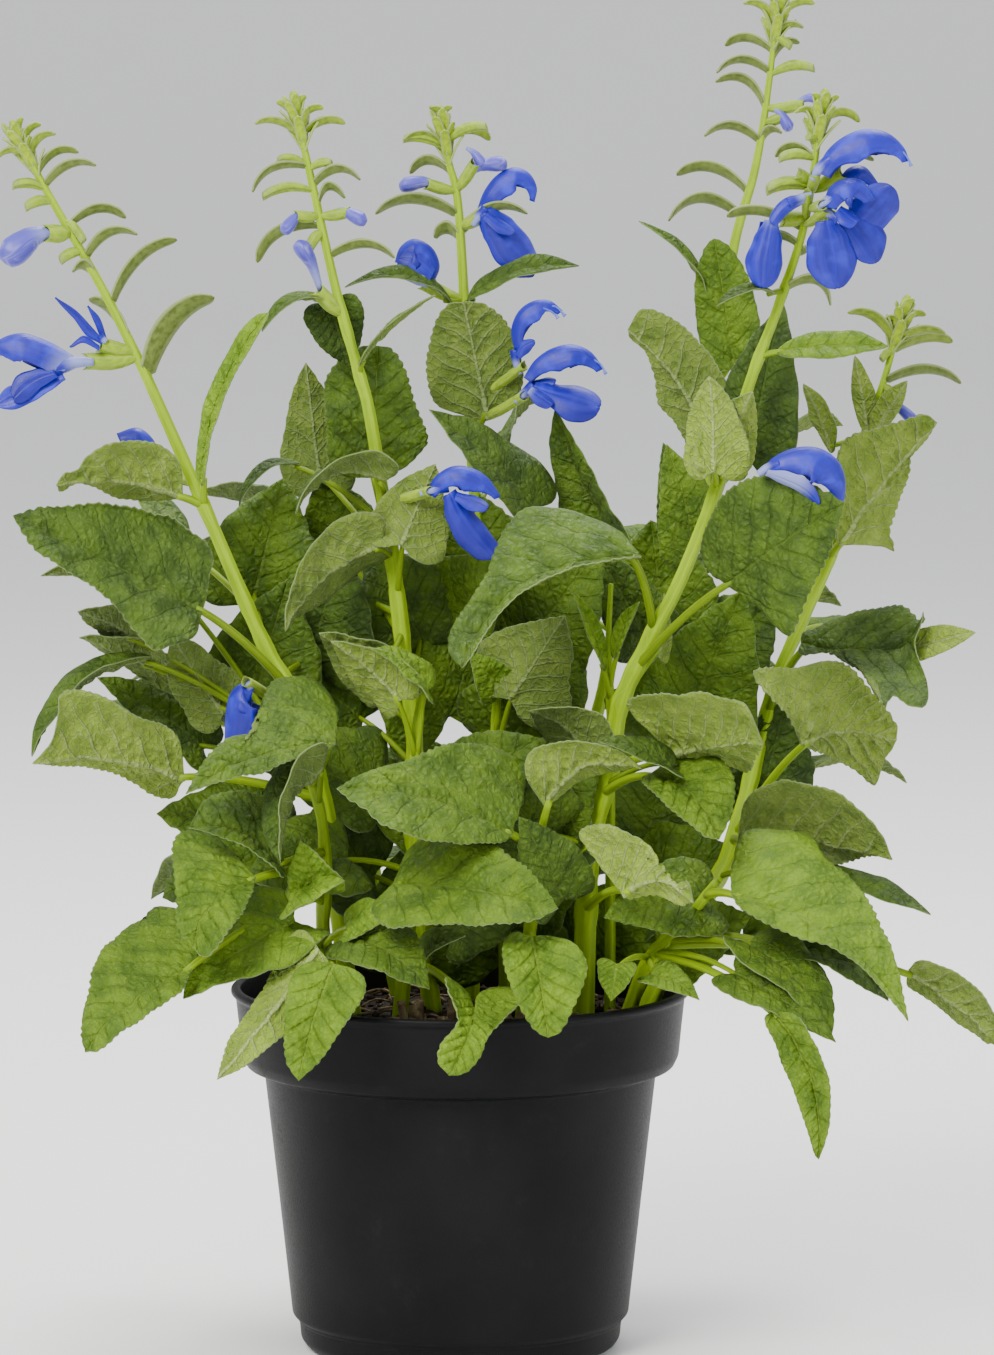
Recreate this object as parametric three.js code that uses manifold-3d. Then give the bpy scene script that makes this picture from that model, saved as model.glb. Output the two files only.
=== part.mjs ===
// A potted perennial sage with large hooded blue flowers, standing in its black nursery pot.
// Millimetres, +Z up. The origin is on the pot's axis, on the surface that the pot stands on.
// The front of the plant looks along -Y, and +X is to its right.
import * as THREE from 'three';
import { mergeVertices } from 'three/addons/utils/BufferGeometryUtils.js';
import Module from 'manifold-3d';

const wasm = await Module();
wasm.setup();

// ---- Driving dimensions ----

const GAP = 0.3;                  // clearance between neighbouring pieces
const POT_HEIGHT = 119;
const POT_RIM_RADIUS = 75;
const POT_WALL = 1.6;
const POT_FLOOR = 2.4;
const BAND_HEIGHT = 22.4;         // the broad collar below the rim
const BAND_TOP_RADIUS = 73.5;
const BAND_BOTTOM_RADIUS = 71.5;
const BAND_UNDERSIDE = 5;         // how far the collar rounds in below its lower edge
const BODY_TOP_RADIUS = 64.2;
const BODY_BOTTOM_RADIUS = 55.2;
const FOOT_HEIGHT = 9;
const FOOT_RADIUS = 53;
const BASE_RADIUS = 48.5;
const NOTCH_WIDTH = 22;
const NOTCH_HEIGHT = 1.8;
const NOTCH_DEPTH = 7;
const NOTCHES = 4;
const POT_SIDES = 30;
const SOIL_TOP = POT_HEIGHT - 11;
const SOIL_DOME = 1.5;            // the soil stands a little higher in the middle
const LEAF_THICKNESS = 0.8;
const BRACT_THICKNESS = 0.8;
const PETAL_THICKNESS = 0.8;
const PETIOLE_RADIUS = 1.1;
const NARROW_SHARE = 0.35;        // a blade narrower than this share of its length is lance-shaped
const LARGE_STEPS = 4;            // facets along a large leaf's blade
const SMALL_STEPS = 3;            // and along a small one's
const STALK_INSIDE = 1.5;         // how far a leaf stalk runs on under its blade
const BRACT_LEAN = 0.25;          // how far a bract's tip leans forwards or back, as a share of its reach
const BRACT_TURN = 45;            // degrees that a bract's upper side is turned towards the front
const SPARE_LENGTH = 0.1;         // smallest half width of a blade's blunt end
const SMOOTHING = 0.2;            // small facets below this size are merged away

// ---- Stems: [name, radius at the soil, radius at the top, points upwards from the soil] ----

const STEMS = [
  ['stem_left', 2.7, 0.9, [
    [-35, 0, 106], [-40, -10, 148], [-43, -16, 175], [-52, -16, 211], [-64, -14, 234],
    [-82, -14, 276], [-95, -15, 306], [-103, -16, 324], [-115, -17, 348], [-133, -18, 380],
    [-143, -18, 399]]],
  ['stem_mid_left', 2.8, 0.9, [
    [-9, 12, 106], [-15, 8, 159], [-15, 6, 199], [-18, 5, 225], [-22, 4, 258],
    [-29, 2, 304], [-33, 1, 320], [-40, 0, 346], [-48, 0, 382], [-54, 0, 408]]],
  ['stem_centre', 2.5, 0.8, [
    [3, 30, 106], [6, 33, 159], [7, 37, 209], [6, 40, 255], [3, 42, 301],
    [1, 43, 344], [-1, 44, 374], [-4, 44, 387], [-7, 44, 403]]],
  ['stem_back_right', 2.6, 0.8, [
    [29, 32, 106], [46, 44, 158], [67, 56, 224], [80, 62, 273], [86, 65, 317],
    [91, 67, 357], [98, 68, 383], [102, 69, 407], [106, 70, 441]]],
  ['stem_front_right', 3.3, 0.9, [
    [40, -6, 106], [41, -8, 145], [43, -10, 169], [49, -12, 194], [52, -14, 213],
    [61, -18, 234], [71, -22, 254], [83, -28, 286], [93, -32, 319], [102, -35, 344],
    [110, -38, 371], [115, -40, 409]]],
  ['stem_far_right', 2.8, 0.8, [
    [59, 4, 106], [75, 8, 139], [88, 12, 160], [100, 18, 203], [104, 20, 218],
    [114, 22, 240], [123, 24, 261], [132, 26, 295], [139, 28, 315], [146, 30, 341]]],
  ['shoot_front_left', 2.3, 1.2, [
    [-42, -6, 106], [-44, -30, 141], [-43, -38, 159], [-44, -42, 179], [-48, -46, 195]]],
  ['shoot_mid_left', 2.3, 1.1, [
    [-20, -4, 106], [-16, -14, 149], [-14, -18, 182], [-14, -20, 205], [-10, -22, 225]]],
  ['shoot_centre', 2.0, 0.9, [
    [15, 6, 106], [14, 8, 153], [12, 8, 192], [12, 8, 213], [15, 8, 225]]],
  ['shoot_front_centre', 2.2, 1.2, [
    [20, -6, 106], [22, -24, 134], [24, -36, 158], [24, -42, 175]]],
  ['shoot_front_right', 2.3, 1.2, [
    [53, -10, 106], [61, -28, 131], [74, -42, 148], [82, -50, 160]]],
  ['shoot_young', 1.7, 0.7, [
    [49, 4, 106], [49, 2, 160], [49, -1, 208], [48, -2, 226], [49, -3, 251]]],
  ['shoot_back_left', 2.4, 0.9, [
    [-20, 34, 106], [-31, 56, 156], [-39, 70, 205], [-46, 80, 252], [-49, 84, 279]]],
  ['shoot_back_right', 2.4, 0.9, [
    [13, 44, 106], [33, 66, 155], [47, 82, 204], [54, 90, 251], [57, 94, 278]]],
];

// ---- Leaves: [name, stem, height where it leaves the stem, blade base, blade tip, width,
//      where the upper side looks, arch of the midrib, fold of each half in degrees,
//      and the blade's form where it differs from what its width gives] ----

const LARGE_LEAVES = [
  ['leaf_left_big', 'stem_left', 218, [-82, -34, 245], [-141, -52, 277], 50,
    [-0.1, -0.72, 0.68], 1, 14],
  ['leaf_left_pale', 'stem_left', 277, [-89, -16, 280], [-129, -30, 285], 25,
    [0.1, 0.8, 0.6], 2, 16],
  ['leaf_left_upright', 'stem_left', 277, [-83, -20, 284], [-61, -28, 340], 13,
    [-0.7, -0.7, 0.2], 5, 24],
  ['leaf_left_low_pale', 'stem_left', 182, [-88, -36, 191], [-135, -60, 199], 34,
    [-0.1, 0.85, 0.5], 2, 16],
  ['leaf_left_front', 'shoot_front_left', 190, [-39, -56, 205], [-85, -90, 193], 36,
    [0, -0.62, 0.78], 3, 12],
  ['leaf_left_dark', 'shoot_front_left', 168, [-55, -62, 165], [-85, -72, 180], 23,
    [-0.1, -0.65, 0.7], 4, 14],
  ['leaf_left_side', 'shoot_front_left', 160, [-64, -70, 164], [-83, -92, 145], 37,
    [-0.2, -0.7, 0.66], 2, 12],
  ['leaf_left_bottom', 'shoot_front_left', 154, [-84, -76, 136], [-116, -104, 114], 38,
    [-0.35, -0.62, 0.7], 1, 12],
  ['leaf_left_rim', 'shoot_front_left', 122, [-44, -76, 142], [-75, -104, 105], 24,
    [0.4, 0.85, -0.2], 4, 24, 'round'],
  ['leaf_rim_left', 'shoot_front_left', 128, [-39, -80, 138], [-50, -94, 103], 23,
    [-0.15, -0.92, 0.3], 5, 10, 'round'],
  ['leaf_centre_big', 'shoot_front_centre', 167, [17, -58, 176], [-38, -84, 194], 50,
    [0, -0.66, 0.74], 3, 12],
  ['leaf_centre_low', 'shoot_mid_left', 150, [-21, -62, 161], [31, -90, 157], 44,
    [0, -0.68, 0.72], 3, 12],
  ['leaf_rim_centre', 'shoot_front_centre', 133, [23, -82, 147], [28, -96, 117], 26,
    [0.05, -0.94, 0.3], 5, 12, 'round'],
  ['leaf_rim_twisted', 'shoot_mid_left', 128, [5, -80, 124], [-3, -96, 105], 25,
    [0.4, -0.8, 0.4], 5, 14, 'round'],
  ['leaf_centre_pale', 'stem_front_right', 145, [52, -64, 157], [74, -78, 157], 29,
    [-0.1, 0.9, 0.4], 3, 12],
  ['leaf_centre_right_pale', 'shoot_front_centre', 160, [27, -50, 184], [58, -56, 197], 22,
    [-0.25, 0.7, 0.6], 5, 16],
  ['leaf_arch_big', 'stem_front_right', 237, [58, -36, 263], [1, -66, 230], 31,
    [-0.1, -0.6, 0.78], 3, 14],
  ['leaf_centre_round', 'stem_centre', 296, [9, 34, 302], [1, 30, 341], 31,
    [0, 0.97, 0.1], 2, 10, 'round'],
  ['leaf_behind_left', 'stem_mid_left', 264, [-29, 16, 284], [-27, 22, 327], 34,
    [0.05, -0.97, -0.1], 2, 10, 'round'],
  ['leaf_right_broad', 'stem_front_right', 224, [85, -44, 254], [121, -66, 282], 50,
    [0.1, -0.9, 0.4], 4, 10],
  ['leaf_far_right_pale', 'stem_far_right', 258, [124, 14, 262], [155, 4, 303], 39,
    [-0.35, 0.9, 0.2], 4, 14],
  ['leaf_right_veined', 'stem_front_right', 283, [81, -18, 292], [54, -14, 334], 23,
    [0.3, 0.9, 0.1], 3, 12, 'round'],
  ['leaf_right_heart', 'stem_far_right', 166, [110, -14, 200], [142, -4, 200], 46,
    [-0.2, 0.85, 0.4], 4, 10],
  ['leaf_right_curled', 'stem_far_right', 206, [111, 4, 231], [154, -16, 233], 52,
    [0.1, -0.62, 0.8], 3, 12],
  ['leaf_right_lit', 'shoot_front_right', 155, [86, -66, 158], [140, -100, 123], 41,
    [0.28, -0.62, 0.72], 3, 12],
  ['leaf_right_low_pale', 'stem_far_right', 165, [90, -10, 167], [139, -34, 165], 46,
    [0.15, 0.65, 0.7], 2, 14],
  ['leaf_right_end', 'shoot_front_right', 137, [143, -44, 130], [172, -62, 109], 20,
    [0.35, 0.7, 0.6], 1, 10, 'round'],
  ['leaf_right_hanging', 'shoot_front_right', 134, [98, -88, 124], [112, -104, 80], 15,
    [-0.6, -0.7, 0.3], 2, 22, 'round'],
  ['leaf_mid_right', 'stem_front_right', 191, [67, -40, 199], [96, -64, 206], 45,
    [0.1, 0.7, 0.65], 2, 14],
  ['leaf_mid_right_low', 'stem_front_right', 183, [61, -44, 194], [82, -70, 176], 27,
    [0.25, -0.72, 0.64], 3, 12],
];

// Smaller leaves, which stay joined to the stem they grow on: the same columns without a name.
const SMALL_LEAVES = [
  ['stem_left', 194, [-76, -24, 211], [-92, -32, 237], 22, [-0.5, 0.75, 0.3], 3, 14],
  ['stem_left', 176, [-95, -6, 254], [-135, -18, 255], 22, [0, 0.5, 0.85], 4, 12],
  ['stem_left', 192, [-99, -30, 230], [-136, -50, 200], 16, [-0.3, -0.3, 0.9], 8, 30],
  ['stem_left', 192, [-104, -30, 235], [-122, -36, 245], 22, [-0.2, 0.6, 0.8], 3, 12],
  ['stem_left', 232, [-68, 10, 244], [-58, 16, 284], 42, [0.1, -0.95, 0.1], 3, 12],
  ['shoot_front_left', 184, [-43, -62, 198], [-56, -80, 170], 24, [-0.8, -0.3, 0.35], 5, 48],
  ['shoot_front_left', 131, [-55, -56, 147], [-87, -74, 126], 28, [-0.1, -0.3, 0.95], 4, 12],
  ['shoot_front_left', 161, [-44, -60, 158], [-50, -66, 175], 18, [-0.3, -0.8, 0.4], 2, 10],
  ['shoot_front_left', 151, [-54, -60, 155], [-36, -70, 163], 18, [0.2, -0.7, 0.7], 2, 10],
  ['shoot_front_left', 135, [-36, -58, 146], [-20, -66, 152], 18, [-0.1, -0.6, 0.8], 2, 10],
  ['shoot_mid_left', 132, [-33, -62, 144], [-9, -80, 130], 27, [0.15, -0.75, 0.62], 4, 12],
  ['shoot_mid_left', 195, [-10, -28, 219], [-28, -36, 233], 16, [0, -0.5, 0.85], 3, 12],
  ['shoot_mid_left', 195, [-19, -30, 216], [-41, -40, 236], 20, [-0.2, 0.7, 0.6], 3, 12],
  ['shoot_mid_left', 134, [-13, -50, 136], [2, -60, 144], 15, [0, -0.6, 0.8], 2, 10],
  ['stem_mid_left', 333, [-39, 2, 341], [-64, -6, 333], 9, [-0.3, -0.3, 0.9], 7, 16],
  ['stem_mid_left', 318, [-33, -2, 322], [-8, -10, 345], 9, [-0.5, -0.2, 0.8], 2, 20],
  ['stem_mid_left', 338, [-42, 6, 341], [-37, 12, 321], 19, [0.1, -0.9, 0.2], 2, 10],
  ['stem_mid_left', 257, [-46, 26, 282], [-51, 34, 321], 24, [-0.1, 0.95, 0.15], 2, 10],
  ['stem_mid_left', 259, [-26, -8, 264], [-56, -30, 238], 28, [-0.2, 0.72, 0.6], 6, 20],
  ['stem_mid_left', 275, [-24, -4, 285], [-53, -18, 275], 18, [-0.1, 0.2, 0.95], 8, 30],
  ['stem_mid_left', 246, [-19, -10, 264], [-8, -2, 290], 26, [0.1, 0.9, 0.2], 2, 10],
  ['stem_mid_left', 234, [-24, -26, 219], [-45, -34, 238], 22, [-0.2, 0.7, 0.6], 3, 12],
  ['stem_centre', 244, [24, 22, 274], [-10, 8, 307], 27, [0.3, -0.72, 0.6], 3, 12],
  ['stem_centre', 339, [2, 36, 341], [39, 28, 353], 11, [-0.2, -0.6, 0.7], 6, 18],
  ['stem_centre', 339, [-3, 38, 341], [-38, 28, 346], 9, [0.2, -0.5, 0.8], 8, 18],
  ['stem_centre', 231, [54, 38, 266], [35, 32, 306], 20, [-0.7, -0.7, 0.1], 3, 26],
  ['stem_centre', 212, [-3, 20, 240], [20, 10, 258], 30, [0.1, -0.85, 0.4], 3, 12],
  ['stem_back_right', 312, [91, 56, 318], [84, 54, 361], 21, [0.1, -0.95, 0.1], 2, 12, 'round'],
  ['stem_back_right', 332, [85, 58, 333], [59, 50, 367], 8, [0.3, -0.3, 0.8], 6, 16],
  ['stem_back_right', 256, [76, 48, 262], [67, 42, 294], 20, [0.1, -0.95, 0.1], 2, 12],
  ['stem_back_right', 210, [63, 44, 228], [43, 34, 262], 24, [-0.2, -0.9, 0.3], 3, 12],
  ['stem_front_right', 283, [93, -18, 292], [104, -10, 343], 28, [-0.2, -0.95, 0.05], 3, 12],
  ['stem_front_right', 326, [101, -36, 328], [136, -44, 330], 12, [0.1, -0.75, 0.6], 2, 14],
  ['stem_front_right', 347, [100, -40, 347], [81, -50, 343], 6, [0, -0.5, 0.85], 4, 14],
  ['stem_front_right', 284, [81, -40, 290], [79, -50, 321], 22, [0.25, 0.95, 0.2], 3, 14],
  ['stem_front_right', 286, [84, -37, 291], [93, -45, 316], 21, [-0.35, 0.9, 0.2], 3, 14],
  ['stem_front_right', 214, [64, -12, 228], [66, -14, 249], 8, [0, 0.9, 0.1], 2, 20],
  ['stem_front_right', 191, [42, -24, 197], [22, -34, 213], 24, [-0.2, 0.4, 0.85], 4, 14],
  ['stem_front_right', 186, [68, -50, 197], [44, -60, 206], 16, [0, -0.45, 0.88], 2, 12],
  ['stem_far_right', 297, [122, 20, 292], [112, 16, 315], 9, [0.5, -0.8, 0.2], 2, 16, 'lance'],
  ['stem_far_right', 295, [134, 24, 297], [129, 20, 324], 8, [0.2, -0.9, 0.1], 2, 18, 'lance'],
  ['stem_far_right', 294, [135, 22, 296], [146, 16, 316], 9, [-0.2, -0.9, 0.2], 2, 18, 'lance'],
  ['stem_far_right', 186, [74, 14, 205], [92, 6, 248], 42, [0.2, -0.92, 0.3], 3, 12],
  ['stem_far_right', 153, [100, -16, 158], [151, -40, 148], 18, [0.1, -0.3, 0.94], 4, 14],
  ['shoot_front_centre', 145, [33, -44, 153], [19, -52, 181], 25, [0.2, -0.85, 0.35], 3, 10],
  ['shoot_front_right', 138, [92, -62, 141], [117, -86, 115], 28, [0.3, -0.3, 0.9], 5, 14],
  ['shoot_front_right', 141, [109, -50, 138], [136, -66, 124], 28, [0.1, -0.3, 0.95], 5, 14],
  ['shoot_front_right', 132, [50, -60, 135], [48, -68, 124], 12, [0, -0.9, 0.3], 1, 10],
  ['shoot_front_right', 131, [61, -56, 131], [76, -70, 125], 12, [0.2, -0.7, 0.7], 2, 12],
  ['shoot_front_right', 134, [87, -74, 134], [118, -92, 115], 20, [0.3, -0.75, 0.5], 3, 12],
  ['shoot_front_right', 128, [80, -38, 152], [46, -48, 148], 30, [0, -0.8, 0.6], 4, 12],
  ['stem_back_right', 262, [78, 40, 258], [64, 34, 299], 24, [0.2, -0.95, 0.1], 3, 12],
  ['stem_mid_left', 215, [-12, 22, 228], [-30, 18, 262], 42, [0.1, -0.9, 0.3], 4, 12],
  ['stem_left', 222, [-50, 14, 222], [-38, 10, 262], 42, [0, -0.9, 0.3], 4, 12],
  ['stem_centre', 222, [22, 26, 228], [46, 20, 262], 40, [0.1, -0.9, 0.3], 4, 12],
  ['stem_mid_left', 268, [-52, 8, 290], [-72, 2, 276], 8, [-0.3, -0.4, 0.8], 6, 12],
  ['shoot_young', 213, [47, -8, 223], [36, -14, 250], 7, [0.6, -0.6, 0.3], 2, 20],
  ['shoot_young', 216, [50, -8, 227], [58, -12, 246], 7, [-0.6, -0.6, 0.3], 2, 20],
  ['shoot_centre', 193, [16, -2, 213], [34, -8, 241], 34, [0.3, 0.92, 0.1], 2, 12],
  ['shoot_centre', 200, [13, 2, 216], [3, -4, 229], 14, [-0.2, -0.8, 0.4], 2, 14],
  ['shoot_centre', 205, [12, 14, 215], [13, 20, 240], 12, [0, -0.9, 0.2], 2, 14],
  ['stem_left', 200, [-68, 8, 210], [-56, 2, 252], 42, [0.1, -0.9, 0.35], 3, 12],
  ['stem_left', 160, [-58, -10, 166], [-98, -20, 178], 40, [-0.1, -0.7, 0.7], 4, 12],
  ['stem_left', 150, [-60, 18, 160], [-98, 12, 146], 42, [-0.1, -0.8, 0.6], 4, 12],
  ['stem_mid_left', 190, [-32, 20, 204], [-66, 16, 228], 42, [-0.1, -0.85, 0.5], 4, 12],
  ['stem_mid_left', 170, [-30, 4, 182], [-68, -2, 194], 40, [0, -0.7, 0.7], 4, 12],
  ['stem_mid_left', 145, [-28, 0, 155], [-64, -8, 168], 42, [0, -0.8, 0.6], 4, 12],
  ['stem_mid_left', 135, [-2, -8, 142], [30, -18, 154], 36, [0, -0.8, 0.6], 4, 12],
  ['shoot_mid_left', 158, [-36, -24, 164], [-68, -36, 158], 36, [-0.1, -0.7, 0.7], 4, 12],
  ['shoot_mid_left', 175, [0, -24, 182], [26, -32, 204], 34, [0.1, -0.8, 0.55], 4, 12],
  ['stem_centre', 198, [-4, 28, 204], [-28, 22, 240], 44, [0, -0.9, 0.4], 4, 12],
  ['stem_centre', 186, [16, 26, 196], [40, 20, 232], 42, [0.1, -0.9, 0.4], 4, 12],
  ['stem_centre', 162, [-6, 24, 172], [-42, 20, 186], 44, [0, -0.8, 0.6], 4, 12],
  ['stem_centre', 138, [18, 22, 146], [44, 18, 174], 42, [0, -0.8, 0.6], 4, 12],
  ['shoot_centre', 168, [22, -6, 174], [44, -14, 206], 38, [0.1, -0.85, 0.4], 4, 12],
  ['shoot_centre', 146, [22, -2, 152], [50, -12, 168], 36, [0, -0.7, 0.7], 4, 12],
  ['stem_back_right', 186, [66, 36, 194], [92, 30, 230], 44, [0.1, -0.9, 0.4], 4, 12],
  ['stem_back_right', 164, [40, 34, 170], [20, 28, 202], 42, [0, -0.9, 0.4], 4, 12],
  ['stem_back_right', 140, [56, 24, 146], [92, 16, 160], 42, [0.1, -0.8, 0.6], 4, 12],
  ['stem_far_right', 148, [96, 16, 160], [126, 12, 174], 38, [0.1, -0.8, 0.6], 4, 12],
  ['stem_far_right', 132, [92, -6, 136], [124, -16, 134], 36, [0.2, -0.6, 0.8], 5, 12],
  ['stem_front_right', 166, [26, -20, 170], [2, -28, 196], 36, [-0.1, -0.8, 0.5], 4, 12],
  ['shoot_front_right', 128, [68, -14, 131], [94, -18, 144], 34, [0.1, -0.7, 0.7], 4, 12],
  ['shoot_back_left', 255, [-55, 90, 260], [-90, 112, 272], 34, [-0.2, 0.6, 0.75], 5, 12],
  ['shoot_back_left', 234, [-35, 104, 236], [-46, 140, 261], 36, [0, 0.7, 0.7], 6, 12],
  ['shoot_back_left', 201, [-72, 86, 207], [-114, 110, 208], 36, [-0.2, 0.5, 0.84], 6, 12],
  ['shoot_back_left', 174, [-42, 100, 181], [-53, 142, 163], 38, [0, 0.6, 0.8], 6, 12],
  ['shoot_back_left', 142, [-68, 70, 151], [-107, 104, 133], 34, [-0.3, 0.4, 0.86], 6, 12],
  ['shoot_back_right', 254, [61, 104, 258], [76, 138, 266], 34, [0.2, 0.6, 0.75], 5, 12],
  ['shoot_back_right', 227, [34, 106, 232], [13, 136, 254], 34, [-0.1, 0.7, 0.7], 6, 12],
  ['shoot_back_right', 201, [75, 100, 206], [113, 128, 203], 38, [0.2, 0.5, 0.84], 6, 12],
  ['shoot_back_right', 174, [34, 104, 178], [24, 148, 158], 38, [0, 0.6, 0.8], 6, 12],
  ['shoot_back_right', 148, [71, 84, 149], [110, 114, 128], 34, [0.3, 0.4, 0.86], 6, 12],
  ['stem_centre', 270, [12, 64, 284], [30, 92, 308], 30, [0.1, 0.6, 0.75], 5, 12],
  ['stem_centre', 244, [-8, 68, 250], [-30, 96, 256], 32, [-0.2, 0.6, 0.8], 5, 12],
  ['stem_mid_left', 240, [-50, 34, 246], [-92, 52, 258], 32, [-0.3, 0.5, 0.8], 5, 12],
  ['stem_mid_left', 205, [-44, 38, 212], [-78, 62, 222], 34, [-0.3, 0.5, 0.8], 5, 12],
  ['stem_back_right', 288, [102, 82, 290], [130, 104, 296], 28, [0.3, 0.5, 0.8], 4, 12],
  ['stem_back_right', 236, [94, 84, 236], [130, 106, 234], 34, [0.3, 0.5, 0.8], 5, 12],
  ['stem_left', 246, [-94, 12, 262], [-116, 40, 286], 28, [-0.3, 0.6, 0.7], 4, 12],
  ['stem_left', 190, [-82, 20, 204], [-122, 44, 200], 34, [-0.3, 0.4, 0.85], 6, 12],
  ['stem_far_right', 232, [124, 48, 236], [152, 74, 234], 30, [0.3, 0.5, 0.8], 4, 12],
  ['stem_far_right', 172, [112, 42, 184], [150, 64, 178], 34, [0.3, 0.4, 0.85], 6, 12],
  ['shoot_back_left', 150, [-14, 92, 148], [-2, 124, 136], 32, [0.1, 0.6, 0.8], 6, 12],
  ['shoot_back_left', 222, [-70, 98, 232], [-98, 124, 240], 30, [-0.3, 0.6, 0.7], 5, 12],
  ['shoot_back_right', 186, [70, 112, 186], [92, 146, 180], 34, [0.2, 0.5, 0.8], 6, 12],
  ['shoot_back_right', 234, [84, 104, 246], [112, 126, 258], 30, [0.3, 0.5, 0.8], 5, 12],
];

// ---- Narrow bracts on the flower spikes: [height on the stem, tip across, tip up, width, arch] ----

const BRACTS = {
  stem_left: [
    [319, -79, 345, 9, 6], [342, -91, 363, 5.2, 5], [357, -103, 365, 4.4, 5],
    [367, -107, 370, 4.2, 5], [380, -116, 387, 4, 4], [384, -122, 391, 3.6, 4],
    [389, -129, 397, 3.4, 3], [393, -134, 400, 3.2, 2], [395, -140, 402, 2.8, 1],
    [395, -146, 400, 2.8, -1], [391, -148, 389, 3.2, 2], [331, -119, 344, 5.2, 3],
    [352, -124, 353, 5.2, 3]],
  stem_mid_left: [
    [386, -67, 378, 4.2, 5], [367, -66, 355, 4.4, 6], [396, -66, 400, 3.4, 3],
    [396, -37, 400, 3.6, 3], [380, -32, 382, 4.4, 5], [373, -37, 376, 4, 6],
    [357, -21, 357, 4.6, 5], [401, -59, 407, 3.2, 1], [402, -50, 409, 3.2, 1],
    [400, -44, 405, 3.2, 2]],
  stem_centre: [
    [395, -10, 405, 4.4, 3], [383, -17, 383, 4.4, 5], [369, -28, 370, 5.8, 6],
    [361, -9, 362, 5.8, 4], [363, 22, 370, 4.6, 6], [394, 10, 394, 4.4, 4],
    [390, -19, 394, 4, 4], [398, -3, 405, 3.4, 2]],
  stem_back_right: [
    [432, 94, 439, 3.4, 3], [423, 88, 425, 4, 4], [416, 85, 416, 4.2, 5],
    [404, 85, 413, 4.2, 6], [393, 81, 395, 4.4, 5], [376, 72, 382, 5, 6],
    [368, 69, 367, 5.8, 8], [433, 118, 439, 3.4, 3], [427, 114, 431, 3.6, 3],
    [420, 113, 426, 3.6, 3], [393, 107, 396, 4, 3], [435, 110, 446, 3.2, 2],
    [436, 100, 445, 3.2, 2]],
  stem_front_right: [
    [400, 106, 404, 3.4, 3], [400, 127, 401, 3.6, 4], [385, 131, 389, 4, 4],
    [367, 85, 371, 4.4, 4], [362, 94, 360, 4.2, 5], [359, 131, 356, 5, 6],
    [348, 118, 343, 5.4, 7], [403, 120, 409, 2.8, 1], [404, 112, 410, 2.8, 1],
    [389, 100, 390, 4, 4]],
  stem_far_right: [
    [328, 127, 338, 4.4, 4], [331, 153, 337, 3.6, 3], [328, 159, 331, 4, 3],
    [325, 162, 328, 4.4, 3], [315, 164, 315, 5.2, 5], [335, 149, 342, 3.2, 1],
    [332, 139, 336, 3.4, 2]],
};

// Calyces: [height on the stem, mouth across, mouth up, radius at the mouth]
const CALYCES = {
  stem_left: [
    [379, -143, 380, 1.7], [375, -139, 373, 1.8], [365, -134, 364, 2.1], [359, -128, 356, 1.8],
    [325, -118, 324, 2.5], [327, -114, 329, 2.2], [369, -120, 362, 1.5]],
  stem_mid_left: [
    [378, -64, 376, 1.7], [386, -59, 388, 1.5], [385, -41, 387, 1.5], [370, -52, 370, 1.7],
    [370, -37, 371, 1.7], [365, -49, 359, 1.9], [338, -45, 345, 2.3]],
  stem_centre: [
    [391, -19, 394, 1.8], [393, 9, 398, 1.8], [377, -10, 379, 1.8], [377, 4, 385, 1.8],
    [365, 8, 370, 2.2], [341, -11, 346, 2.1]],
  stem_back_right: [
    [415, 118, 417, 1.8], [404, 113, 405, 1.8], [427, 110, 424, 1.5], [399, 107, 401, 1.6]],
  stem_front_right: [
    [389, 101, 389, 1.7], [382, 108, 384, 1.8], [379, 120, 384, 2.1], [368, 124, 370, 2],
    [371, 103, 370, 2.2], [395, 110, 396, 1.5]],
  stem_far_right: [[327, 146, 333, 1.4], [314, 144, 306, 1.6], [325, 138, 322, 1.4]],
};

// Young buds that already show their colour: [stem, base, tip, radius]
const BUDS = [
  ['stem_left', [-129, -18, 364], [-145, -20, 358], 4.2],
  ['stem_mid_left', [-50, 0, 371], [-56, -3, 366], 2.2],
  ['stem_mid_left', [-42, 0, 371], [-32, -3, 369], 2.4],
  ['stem_mid_left', [-45, -1, 346], [-51, -4, 360], 2.8],
  ['stem_centre', [-6, 43, 378], [-18, 42, 379], 2.6],
  ['stem_centre', [2, 44, 391], [7, 42, 386], 1.8],
  ['stem_centre', [0, 44, 381], [13, 42, 386], 2.6],
  ['stem_back_right', [110, 68, 405], [121, 66, 407], 2],
  ['stem_back_right', [104, 68, 404], [109, 66, 398], 2],
  ['stem_far_right', [137, 28, 309], [149, 26, 302], 2],
];

// ---- Flowers: [name, where the tube leaves the calyx, way it points, length, form] ----

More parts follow.
